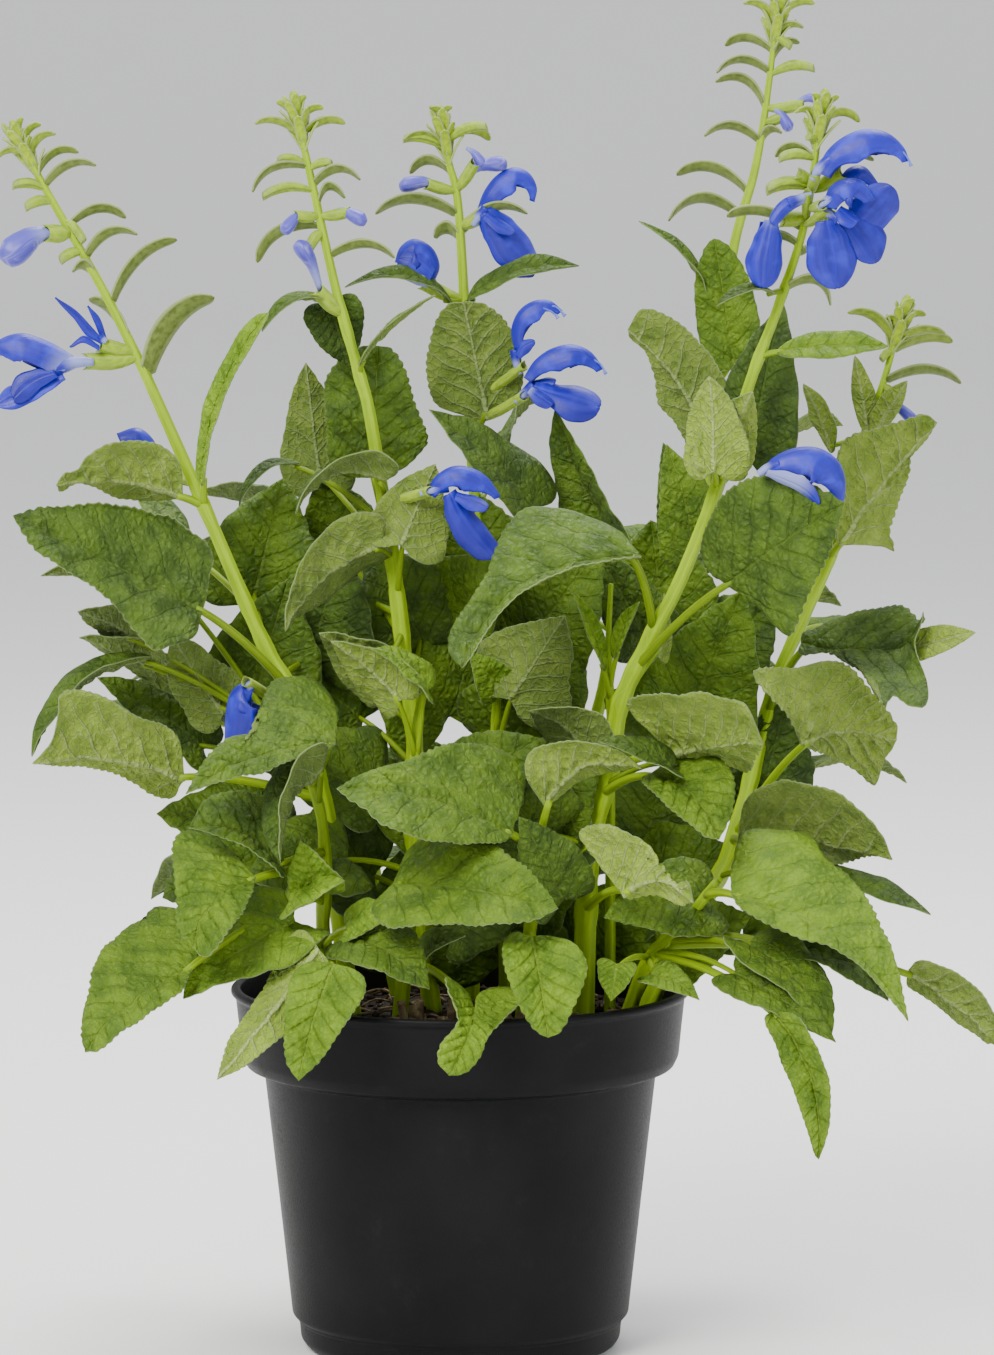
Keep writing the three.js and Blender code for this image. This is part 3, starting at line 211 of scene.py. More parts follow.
SMALL_LEAVES = {
    "stem_left": [
      [194, [-76, -24, 211], [-92, -32, 237], 22, [-0.5, 0.75, 0.3], 3, 14],
      [176, [-95, -6, 254], [-135, -18, 255], 22, [0, 0.5, 0.85], 4, 12],
      [192, [-99, -30, 230], [-136, -50, 200], 16, [-0.3, -0.3, 0.9], 8, 30],
      [192, [-104, -30, 235], [-122, -36, 245], 22, [-0.2, 0.6, 0.8], 3, 12],
      [232, [-68, 10, 244], [-58, 16, 284], 42, [0.1, -0.95, 0.1], 3, 12],
      [222, [-50, 14, 222], [-38, 10, 262], 42, [0, -0.9, 0.3], 4, 12],
      [200, [-68, 8, 210], [-56, 2, 252], 42, [0.1, -0.9, 0.35], 3, 12],
      [160, [-58, -10, 166], [-98, -20, 178], 40, [-0.1, -0.7, 0.7], 4, 12],
      [150, [-60, 18, 160], [-98, 12, 146], 42, [-0.1, -0.8, 0.6], 4, 12],
      [246, [-94, 12, 262], [-116, 40, 286], 28, [-0.3, 0.6, 0.7], 4, 12],
      [190, [-82, 20, 204], [-122, 44, 200], 34, [-0.3, 0.4, 0.85], 6, 12]],
    "stem_mid_left": [
      [333, [-39, 2, 341], [-64, -6, 333], 9, [-0.3, -0.3, 0.9], 7, 16],
      [318, [-33, -2, 322], [-8, -10, 345], 9, [-0.5, -0.2, 0.8], 2, 20],
      [338, [-42, 6, 341], [-37, 12, 321], 19, [0.1, -0.9, 0.2], 2, 10],
      [257, [-46, 26, 282], [-51, 34, 321], 24, [-0.1, 0.95, 0.15], 2, 10],
      [259, [-26, -8, 264], [-56, -30, 238], 28, [-0.2, 0.72, 0.6], 6, 20],
      [275, [-24, -4, 285], [-53, -18, 275], 18, [-0.1, 0.2, 0.95], 8, 30],
      [246, [-19, -10, 264], [-8, -2, 290], 26, [0.1, 0.9, 0.2], 2, 10],
      [234, [-24, -26, 219], [-45, -34, 238], 22, [-0.2, 0.7, 0.6], 3, 12],
      [215, [-12, 22, 228], [-30, 18, 262], 42, [0.1, -0.9, 0.3], 4, 12],
      [268, [-52, 8, 290], [-72, 2, 276], 8, [-0.3, -0.4, 0.8], 6, 12],
      [190, [-32, 20, 204], [-66, 16, 228], 42, [-0.1, -0.85, 0.5], 4, 12],
      [170, [-30, 4, 182], [-68, -2, 194], 40, [0, -0.7, 0.7], 4, 12],
      [145, [-28, 0, 155], [-64, -8, 168], 42, [0, -0.8, 0.6], 4, 12],
      [135, [-2, -8, 142], [30, -18, 154], 36, [0, -0.8, 0.6], 4, 12],
      [240, [-50, 34, 246], [-92, 52, 258], 32, [-0.3, 0.5, 0.8], 5, 12],
      [205, [-44, 38, 212], [-78, 62, 222], 34, [-0.3, 0.5, 0.8], 5, 12]],
    "stem_centre": [
      [244, [24, 22, 274], [-10, 8, 307], 27, [0.3, -0.72, 0.6], 3, 12],
      [339, [2, 36, 341], [39, 28, 353], 11, [-0.2, -0.6, 0.7], 6, 18],
      [339, [-3, 38, 341], [-38, 28, 346], 9, [0.2, -0.5, 0.8], 8, 18],
      [231, [50, 38, 264], [31, 32, 306], 23, [-0.7, -0.7, 0.1], 3, 26],
      [212, [-3, 20, 240], [20, 10, 258], 30, [0.1, -0.85, 0.4], 3, 12],
      [222, [22, 26, 228], [46, 20, 262], 40, [0.1, -0.9, 0.3], 4, 12],
      [198, [-4, 28, 204], [-28, 22, 240], 44, [0, -0.9, 0.4], 4, 12],
      [186, [16, 26, 196], [40, 20, 232], 42, [0.1, -0.9, 0.4], 4, 12],
      [162, [-6, 24, 172], [-42, 20, 186], 44, [0, -0.8, 0.6], 4, 12],
      [138, [18, 22, 146], [44, 18, 174], 42, [0, -0.8, 0.6], 4, 12],
      [270, [12, 64, 284], [30, 92, 308], 30, [0.1, 0.6, 0.75], 5, 12],
      [244, [-8, 68, 250], [-30, 96, 256], 32, [-0.2, 0.6, 0.8], 5, 12]],
    "stem_back_right": [
      [312, [91, 56, 318], [84, 54, 361], 21, [0.1, -0.95, 0.1], 2, 12, "round"],
      [332, [85, 58, 333], [59, 50, 367], 8, [0.3, -0.3, 0.8], 6, 16],
      [256, [76, 48, 262], [67, 42, 294], 20, [0.1, -0.95, 0.1], 2, 12],
      [210, [63, 44, 228], [43, 34, 262], 24, [-0.2, -0.9, 0.3], 3, 12],
      [262, [78, 40, 258], [68, 34, 294], 24, [0.2, -0.95, 0.1], 3, 12],
      [186, [66, 36, 194], [92, 30, 230], 44, [0.1, -0.9, 0.4], 4, 12],
      [164, [40, 34, 170], [20, 28, 202], 42, [0, -0.9, 0.4], 4, 12],
      [140, [56, 24, 146], [92, 16, 160], 42, [0.1, -0.8, 0.6], 4, 12],
      [288, [102, 82, 290], [130, 104, 296], 28, [0.3, 0.5, 0.8], 4, 12],
      [236, [94, 84, 236], [130, 106, 234], 34, [0.3, 0.5, 0.8], 5, 12]],
    "stem_front_right": [
      [283, [93, -18, 292], [104, -10, 343], 28, [-0.2, -0.95, 0.05], 3, 12],
      [326, [101, -36, 328], [136, -44, 330], 12, [0.1, -0.75, 0.6], 2, 14],
      [347, [100, -40, 347], [81, -50, 343], 6, [0, -0.5, 0.85], 4, 14],
      [284, [81, -40, 290], [79, -50, 321], 22, [0.25, 0.95, 0.2], 3, 14],
      [286, [84, -37, 291], [93, -45, 316], 21, [-0.35, 0.9, 0.2], 3, 14],
      [214, [64, -12, 228], [66, -14, 249], 8, [0, 0.9, 0.1], 2, 20],
      [191, [42, -24, 197], [22, -34, 213], 24, [-0.2, 0.4, 0.85], 4, 14],
      [186, [68, -50, 197], [44, -60, 206], 16, [0, -0.45, 0.88], 2, 12],
      [166, [26, -20, 170], [2, -28, 196], 36, [-0.1, -0.8, 0.5], 4, 12]],
    "stem_far_right": [
      [297, [122, 20, 292], [112, 16, 315], 9, [0.5, 0.8, 0.2], 2, 16, "lance"],
      [295, [134, 24, 297], [129, 20, 324], 8, [0.2, 0.9, 0.1], 2, 18, "lance"],
      [294, [135, 22, 296], [146, 16, 316], 9, [-0.2, 0.9, 0.2], 2, 18, "lance"],
      [186, [74, 14, 205], [92, 6, 248], 42, [0.2, -0.92, 0.3], 3, 12],
      [153, [100, -16, 158], [151, -40, 148], 18, [0.1, -0.3, 0.94], 4, 14],
      [148, [96, 16, 160], [126, 12, 174], 38, [0.1, -0.8, 0.6], 4, 12],
      [132, [92, -6, 136], [124, -16, 134], 36, [0.2, -0.6, 0.8], 5, 12],
      [232, [124, 48, 232], [148, 74, 226], 30, [0.3, 0.5, 0.8], 4, 12],
      [172, [112, 42, 184], [150, 64, 178], 34, [0.3, 0.4, 0.85], 6, 12]],
    "shoot_front_left": [
      [184, [-43, -62, 198], [-56, -80, 170], 24, [-0.8, -0.3, 0.35], 5, 48],
      [131, [-52, -56, 148], [-87, -74, 126], 38, [-0.1, -0.62, 0.78], 4, 12],
      [161, [-44, -60, 158], [-50, -66, 175], 18, [-0.3, -0.8, 0.4], 2, 10],
      [151, [-54, -60, 155], [-36, -70, 163], 18, [0.2, -0.7, 0.7], 2, 10],
      [135, [-36, -58, 146], [-20, -66, 152], 18, [-0.1, -0.6, 0.8], 2, 10]],
    "shoot_mid_left": [
      [132, [-33, -62, 144], [-9, -80, 130], 27, [0.15, -0.75, 0.62], 4, 12],
      [195, [-10, -28, 219], [-28, -36, 233], 16, [0, -0.5, 0.85], 3, 12],
      [195, [-19, -30, 216], [-41, -40, 236], 20, [-0.2, 0.7, 0.6], 3, 12],
      [134, [-13, -50, 136], [2, -60, 144], 15, [0, -0.6, 0.8], 2, 10],
      [158, [-36, -24, 164], [-68, -36, 158], 36, [-0.1, -0.7, 0.7], 4, 12],
      [175, [0, -24, 182], [26, -32, 204], 34, [0.1, -0.8, 0.55], 4, 12]],
    "shoot_centre": [
      [193, [16, -2, 213], [34, -8, 241], 34, [0.3, 0.92, 0.1], 2, 12],
      [200, [13, 2, 216], [3, -4, 229], 14, [-0.2, -0.8, 0.4], 2, 14],
      [205, [12, 14, 215], [13, 20, 240], 12, [0, -0.9, 0.2], 2, 14],
      [168, [22, -6, 174], [44, -14, 206], 38, [0.1, -0.85, 0.4], 4, 12],
      [146, [22, -2, 152], [50, -12, 168], 36, [0, -0.7, 0.7], 4, 12]],
    "shoot_front_centre": [
      [145, [33, -44, 153], [19, -52, 181], 25, [0.2, -0.85, 0.35], 3, 10]],
    "shoot_front_right": [
      [138, [92, -62, 141], [117, -86, 115], 28, [0.3, -0.3, 0.9], 5, 14],
      [141, [109, -50, 138], [136, -66, 124], 28, [0.1, -0.3, 0.95], 5, 14],
      [132, [50, -60, 135], [48, -68, 124], 12, [0, -0.9, 0.3], 1, 10],
      [131, [61, -56, 131], [76, -70, 125], 12, [0.2, -0.7, 0.7], 2, 12],
      [134, [87, -74, 134], [118, -92, 115], 20, [0.3, -0.75, 0.5], 3, 12],
      [128, [80, -38, 152], [46, -48, 148], 30, [0, -0.8, 0.6], 4, 12],
      [128, [68, -14, 131], [94, -18, 144], 34, [0.1, -0.7, 0.7], 4, 12]],
    "shoot_young": [
      [213, [47, -8, 223], [36, -14, 250], 7, [0.6, -0.6, 0.3], 2, 20],
      [216, [50, -8, 227], [58, -12, 246], 7, [-0.6, -0.6, 0.3], 2, 20]],
    "shoot_back_left": [
      [255, [-55, 90, 260], [-90, 112, 272], 34, [-0.2, 0.6, 0.75], 5, 12],
      [234, [-35, 104, 236], [-46, 140, 261], 36, [0, 0.7, 0.7], 6, 12],
      [201, [-72, 86, 207], [-114, 110, 208], 36, [-0.2, 0.5, 0.84], 6, 12],
      [174, [-42, 100, 181], [-53, 142, 163], 38, [0, 0.6, 0.8], 6, 12],
      [142, [-68, 70, 151], [-107, 104, 133], 34, [-0.3, 0.4, 0.86], 6, 12],
      [150, [-14, 92, 148], [-2, 124, 136], 32, [0.1, 0.6, 0.8], 6, 12],
      [222, [-70, 98, 232], [-98, 124, 240], 30, [-0.3, 0.6, 0.7], 5, 12]],
    "shoot_back_right": [
      [254, [61, 104, 250], [76, 138, 256], 34, [0.2, 0.6, 0.75], 5, 12],
      [227, [34, 106, 232], [13, 136, 254], 34, [-0.1, 0.7, 0.7], 6, 12],
      [201, [75, 100, 206], [113, 128, 203], 38, [0.2, 0.5, 0.84], 6, 12],
      [174, [34, 104, 178], [24, 148, 158], 38, [0, 0.6, 0.8], 6, 12],
      [148, [71, 84, 149], [110, 114, 128], 34, [0.3, 0.4, 0.86], 6, 12],
      [186, [70, 112, 186], [92, 146, 180], 34, [0.2, 0.5, 0.8], 6, 12],
      [234, [84, 104, 246], [112, 126, 258], 30, [0.3, 0.5, 0.8], 5, 12]],
}

# Small leaves deep in the clump, which fill it between the stems and, with the dark tone they are drawn with,
# paint the shade there: the same columns.

FILLING_LEAVES = {
    "stem_left": [
      [188, [-83, -12, 198], [-117, -18, 222], 22, [-0.3, -0.5, 0.8], 3, 12],
      [196, [-80, 2, 211], [-111, -2, 216], 22, [-0.2, 0.6, 0.8], 3, 12],
      [193, [-99, -26, 226], [-122, -28, 236], 20, [-0.2, 0.6, 0.8], 2, 12]],
    "stem_mid_left": [
      [232, [-37, 34, 254], [-46, 30, 284], 34, [0, -0.9, 0.3], 3, 12],
      [128, [-13, 14, 128], [-20, 10, 162], 42, [0, -0.85, 0.4], 3, 12]],
    "stem_centre": [
      [228, [10, 44, 239], [6, 40, 277], 44, [0, -0.9, 0.3], 3, 12],
      [128, [13, 16, 123], [3, 12, 152], 44, [0, -0.85, 0.4], 3, 12]],
    "stem_back_right": [
      [226, [67, 48, 235], [63, 46, 268], 40, [0, -0.9, 0.3], 3, 12],
      [206, [80, 50, 218], [105, 46, 242], 40, [0.1, -0.85, 0.4], 3, 12],
      [150, [59, 30, 152], [67, 26, 187], 46, [0, -0.9, 0.3], 3, 12],
      [144, [46, 20, 124], [59, 14, 152], 44, [0, -0.85, 0.4], 3, 12]],
    "stem_far_right": [
      [160, [98, 22, 175], [107, 18, 211], 34, [0.1, -0.9, 0.3], 3, 12]],
}

# ---- Bracts on the flower spikes: height on the stem, tip across, tip up, width, arch ----

BRACTS = {
    "stem_left": [
      [319, -79, 345, 9, 6], [342, -91, 363, 5.2, 5], [357, -103, 365, 4.4, 5],
      [367, -107, 370, 4.2, 5], [380, -116, 387, 4, 4], [384, -122, 391, 3.6, 4],
      [389, -129, 397, 3.4, 3], [393, -134, 400, 3.2, 2], [395, -140, 402, 2.8, 1],
      [395, -146, 400, 2.8, -1], [391, -148, 389, 3.2, 2], [331, -119, 344, 5.2, 3],
      [352, -124, 353, 5.2, 3]],
    "stem_mid_left": [
      [386, -67, 378, 4.2, 5], [367, -66, 355, 4.4, 6], [396, -66, 400, 3.4, 3],
      [396, -37, 400, 3.6, 3], [380, -32, 382, 4.4, 5], [373, -37, 376, 4, 6],
      [357, -21, 357, 4.6, 5], [401, -59, 407, 3.2, 1], [402, -50, 409, 3.2, 1],
      [400, -44, 405, 3.2, 2]],
    "stem_centre": [
      [395, -10, 405, 4.4, 3], [383, -17, 383, 4.4, 5], [369, -28, 370, 5.8, 6],
      [361, -9, 362, 5.8, 4], [363, 22, 370, 4.6, 6], [394, 10, 394, 4.4, 4],
      [390, -19, 394, 4, 4], [398, -3, 405, 3.4, 2]],
    "stem_back_right": [
      [432, 94, 439, 3.4, 3], [423, 88, 425, 4, 4], [416, 85, 416, 4.2, 5],
      [404, 85, 413, 4.2, 6], [393, 81, 395, 4.4, 5], [376, 72, 382, 5, 6],
      [368, 69, 367, 5.8, 8], [433, 118, 439, 3.4, 3], [427, 114, 431, 3.6, 3],
      [420, 113, 426, 3.6, 3], [393, 107, 396, 4, 3], [435, 110, 446, 3.2, 2],
      [436, 100, 445, 3.2, 2]],
    "stem_front_right": [
      [400, 106, 404, 3.4, 3], [400, 127, 401, 3.6, 4], [385, 131, 389, 4, 4],
      [367, 85, 371, 4.4, 4], [362, 94, 360, 4.2, 5], [359, 131, 356, 5, 6],
      [348, 118, 343, 5.4, 7], [403, 120, 409, 2.8, 1], [404, 112, 410, 2.8, 1],
      [389, 100, 390, 4, 4]],
    "stem_far_right": [
      [328, 127, 338, 4.4, 4], [331, 153, 337, 3.6, 3], [328, 159, 331, 4, 3],
      [325, 162, 328, 4.4, 3], [315, 164, 315, 5.2, 5], [335, 149, 342, 3.2, 1],
      [332, 139, 336, 3.4, 2]],
}

# Calyces: height on the stem, mouth across, mouth up, radius at the mouth.

CALYCES = {
    "stem_left": [
      [379, -143, 380, 1.7], [375, -139, 373, 1.8], [365, -131, 365, 2.6], [359, -128, 356, 1.8],
      [325, -118, 324, 2.5], [327, -114, 329, 2.2], [369, -120, 362, 1.5]],
    "stem_mid_left": [
      [378, -64, 376, 1.7], [386, -59, 388, 1.5], [385, -41, 387, 1.5], [370, -52, 370, 1.7],
      [370, -37, 371, 1.7], [365, -49, 359, 1.9], [338, -45, 345, 2.3]],
    "stem_centre": [
      [391, -19, 394, 1.8], [393, 9, 398, 1.8], [377, -10, 379, 1.8], [377, 4, 385, 1.8],
      [365, 8, 370, 2.2], [341, -11, 346, 2.1]],
    "stem_back_right": [
      [415, 118, 417, 1.8], [404, 113, 405, 1.8], [427, 110, 424, 1.5], [399, 107, 401, 1.6]],
    "stem_front_right": [
      [380, 97, 379, 2.2], [389, 101, 389, 1.7], [382, 108, 384, 1.8], [379, 120, 384, 2.1],
      [368, 124, 370, 2], [371, 103, 370, 2.2], [395, 110, 396, 1.5]],
    "stem_far_right": [[327, 146, 333, 1.4], [314, 144, 306, 1.6], [325, 138, 322, 1.4]],
}

# Young buds that already show their colour: stem, base, tip, radius.

BUDS = [
    ["stem_left", [-130, -18, 365], [-143, -20, 359], 5],
    ["stem_mid_left", [-50, 0, 371], [-56, -3, 366], 2.2],
    ["stem_mid_left", [-42, 0, 371], [-32, -3, 369], 2.4],
    ["stem_mid_left", [-45, -1, 346], [-51, -4, 360], 2.8],
    ["stem_centre", [-6, 43, 378], [-18, 42, 379], 2.6],
    ["stem_centre", [2, 44, 391], [7, 42, 386], 1.8],
    ["stem_centre", [0, 44, 381], [13, 42, 386], 2.6],
    ["stem_back_right", [110, 68, 405], [121, 66, 407], 2],
    ["stem_back_right", [104, 68, 404], [109, 66, 398], 2],
    ["stem_far_right", [137, 28, 309], [149, 26, 302], 2],
]

# ---- Flowers: where the tube of each leaves the calyx ----

FLOWERS = {
    "flower_left_open": [-118, -20, 324],
    "flower_left_withered": [-114, -20, 331],
    "flower_left_behind": [-98, 4, 290],
    "flower_centre_top": [8, 42, 370],
    "flower_centre_bud": [-11, 42, 346],
    "flower_centre_upper": [20, 30, 318],
    "flower_centre_right": [18, 24, 309],
    "flower_low": [-8, -10, 281],
    "flower_hanging_bud": [-67, -40, 222],
    "flower_right_top": [113, -46, 384],
    "flower_right_mid": [116, -52, 380],
    "flower_right_low": [117, -50, 371],
    "flower_right_cup": [108, -46, 374],
    "flower_resting": [97, -60, 292],
}

# ---- Outlines of the large leaves: for the left and the right side, places on the edge as millimetres
#      along the leaf from its base and away from its midrib ----

LEAF_EDGES = {
    "leaf_left_upright": (
        [(3, 2.4), (14, 3.4), (28, 4.0), (42, 4.2), (52, 3.8), (58, 2.6)],
        [(3, 2.4), (14, 3.4), (28, 4.0), (42, 4.2), (52, 3.8), (59, 2.2)]),
    "leaf_left_big": (
        [(1, 12.3), (8, 20.8), (14, 25.4), (24, 18.9), (34, 13.8), (49, 12.4), (61, 8.6)],
        [(1, 8.9), (4, 20.4), (11, 23.8), (20, 25), (26, 23), (39, 18.9), (50, 13.3), (62, 5.9)]),
    "leaf_left_pale": (
        [(4, 10.3), (11, 14.7), (20, 16), (29, 14.6), (34, 10.1), (37, 4.4), (41, 3.9)],
        [(5, 4.6), (13, 9.1), (23, 7.7), (30, 3.6), (36, 2.1), (39, 5.9)]),
    "leaf_left_low_pale": (
        [(6, 11.1), (14, 15), (23, 17), (35, 21.4), (46, 22.5), (50, 20.2), (49, 14.2), (50, 5.7)],
        [(0, 11.4), (9, 12), (21, 7.6), (33, 4.5), (43, 3.1)]),
    "leaf_left_front": (
        [(8, 6.1), (17, 7), (29, 7.9), (43, 4.5)],
        [(-10, 11), (-11, 21.6), (-6, 27.7), (4, 27.9), (14, 19.3), (24, 8.7), (34, 10), (44, 7.2)]),
    "leaf_left_dark": (
        [(0, 4.7), (8, 7.2), (16, 5.7), (25, 4.2)],
        [(4, 7), (10, 15.7), (21, 14.6), (31, 9.7)]),
    "leaf_left_side": (
        [(9, 7.3), (22, 12.2), (32, 11.3), (36, 7.1)],
        [(-6, 9.7), (-8, 19), (-4, 24.8), (4, 24.4), (13, 17.9), (22, 11.7), (30, 7)]),
    "leaf_left_bottom": (
        [(8, 8.2), (13, 10.7), (20, 9.8), (33, 9.1), (44, 5.2)],
        [(-8, 3.4), (-17, 11.3), (-19, 19.9), (-15, 27.6), (-6, 26.1), (5, 25.9), (16, 22.2), (29, 14.2),
         (41, 6.7)]),
    "leaf_left_rim": (
        [(-4, 7), (-3, 12), (3, 14), (10, 12.5), (18, 10.5), (30, 9), (40, 7.5), (46, 5)],
        [(2, 5), (8, 7), (18, 7.5), (30, 7), (40, 5), (46, 3.5)]),
    "leaf_rim_left": (
        [(1, 9.5), (7, 12.7), (14, 11.9), (23, 8.9), (32, 5)],
        [(1, 7.3), (6, 10.5), (15, 10.3), (24, 8.3), (34, 5.2)]),
    "leaf_centre_big": (
        [(6, 7.9), (17, 14.2), (29, 18.3), (42, 20.2), (51, 18.1), (57, 8.3)],
        [(-6, 14.6), (-9, 28.4), (-2, 29.4), (7, 28.8), (23, 22.3), (39, 12.9), (52, 6.9)]),
    "leaf_centre_low": (
        [(-1, 11.1), (5, 18), (14, 22.7), (26, 19.5), (40, 13.1), (52, 5.3)],
        [(-2, 7.8), (2, 16.8), (11, 21.2), (25, 17.3), (42, 14.2), (53, 8.9)]),
    "leaf_rim_centre": (
        [(1, 6.2), (5, 12), (12, 15), (18, 13.7), (26, 8.7), (32, 4)],
        [(-3, 5.3), (2, 9.5), (9, 10.6), (17, 9.3), (25, 7), (31, 3.5)]),
    "leaf_rim_twisted": (
        [(-9, 0.6), (-14, 5.4), (-14, 11), (-7, 11.7), (2, 7.8), (10, 5), (17, 5.5), (23, 4)],
        [(-6, 2.8), (-7, 8.7), (-3, 13.3), (3, 12.3), (8, 7.3), (12, 5.3), (19, 7.3), (24, 5.7)]),
    "leaf_centre_pale": (
        [(2, 4.4), (10, 6.5), (16, 8), (20, 8.3)],
        [(-6, 9.1), (-10, 18.9), (1, 21.1), (10, 13.4), (13, 4.4), (18, 0.6), (26, 6.1)]),
    "leaf_centre_right_pale": (
        [(5, 6), (13, 8.3), (22, 7.5), (29, 4.8)],
        [(0, 9.5), (4, 14.1), (13, 13.5), (23, 10.4), (30, 5.5)]),
    "leaf_arch_big": (
        [(6, 5.2), (14, 4.6), (24, 5.1), (36, 5.4), (49, 3.8), (57, 4.2), (66, 3.5)],
        [(-2, 8.1), (2, 17), (10, 23.7), (17, 25.7), (28, 21.1), (44, 11.2), (60, 8.5), (68, 7.5),
         (72, 3.6)]),
    "leaf_centre_round": (
        [(3, 8.7), (10, 13.8), (21, 14.3), (30, 12.1), (36, 8.1), (39, 3.9)],
        [(4, 10), (9, 16.2), (20, 16.5), (28, 13.7), (36, 9.3), (40, 4.6)]),
    "leaf_behind_left": (
        [(0, 8.7), (5, 14.2), (18, 15.8), (30, 16.7), (38, 12.1), (42, 6.4)],
        [(3, 9.2), (9, 15.4), (14, 17.5), (25, 12.7), (35, 9.3), (42, 4.7)]),
    "leaf_right_broad": (
        [(-4, 7.2), (-2, 14.6), (6, 19.3), (18, 23), (30, 21.8), (41, 14.1), (47, 5.9)],
        [(4, 6.8), (9, 16.1), (15, 26.9), (26, 19.1), (39, 10.8)]),
    "leaf_far_right_pale": (
        [(3, 6.9), (6, 15), (7, 20.1), (12, 14.1), (21, 10.4), (31, 6.5), (37, 2.4), (45, 1.9)],
        [(5, 8.9), (16, 15.2), (29, 18.7), (38, 13.4), (46, 9.1), (52, 4.8)]),
    "leaf_right_veined": (
        [(4, 8.8), (14, 12.6), (26, 13.5), (37, 12.8), (47, 10.2), (53, 5.9)],
        [(5, 6.7), (16, 8.3), (25, 9.9), (34, 4.9), (41, 1.9), (47, 2)]),
    "leaf_right_heart": (
        [(6, 4.9), (15, 10.7), (24, 17.1), (30, 20.7), (31, 9.5)],
        [(-8, 10.7), (-20, 24.2), (-4, 23.2), (11, 25), (23, 14.6), (32, 5.1)]),
    "leaf_right_curled": (
        [(0, 5.7), (8, 12.1), (17, 17.9), (31, 18.8), (41, 10.4)],
        [(2, 5.3), (13, 4.2), (26, 13.3), (35, 18.9), (45, 38.1), (43, 27), (49, 30.3), (54, 28.3),
         (52, 19.2), (47, 9.4)]),
    "leaf_right_lit": (
        [(-8, 6.2), (-15, 18.9), (-5, 26.3), (2, 29.4), (11, 25.1), (24, 23.3), (37, 17.4), (48, 12.3),
         (61, 5.8)],
        [(6, 8), (16, 11.3), (29, 9.6), (40, 4.8), (50, 2.8), (64, 1.9)]),
    "leaf_right_low_pale": (
        [(2, 10.6), (13, 16.7), (25, 19.2), (36, 11.5), (46, 3)],
        [(7, 16.3), (18, 24.3), (29, 27.2), (39, 26.2), (46, 20), (52, 10.2)]),
    "leaf_right_end": (
        [(2, 7), (10, 7.3), (22, 8.2), (32, 6.7)],
        [(3, 7.4), (11, 10.5), (21, 11.3), (30, 11.7), (37, 8.4)]),
    "leaf_right_hanging": (
        [(5, 6.5), (15, 7), (25, 8.2), (33, 7.2), (42, 4.2)],
        [(2, 5.3), (14, 7), (25, 6), (36, 4.7), (46, 2.2)]),
    "leaf_mid_right": (
        [(2, 7), (10, 12.5), (17, 18.3), (28, 8.6)],
        [(-1, 10.7), (-3, 22.6), (9, 26.7), (24, 24.8), (33, 20.4), (41, 15.6), (40, 6.5)]),
    "leaf_mid_right_low": (
        [(-4, 10.2), (3, 16.3), (17, 15.9), (29, 9.3)],
        [(3, 7.5), (14, 10.9), (26, 9.4), (35, 5.3)]),
}

# ---- Flower parts, in millimetres from where the tube leaves the calyx: [kind, spine, sizes along it,
#      where it faces, how far it wraps, how deep its blue is] ----

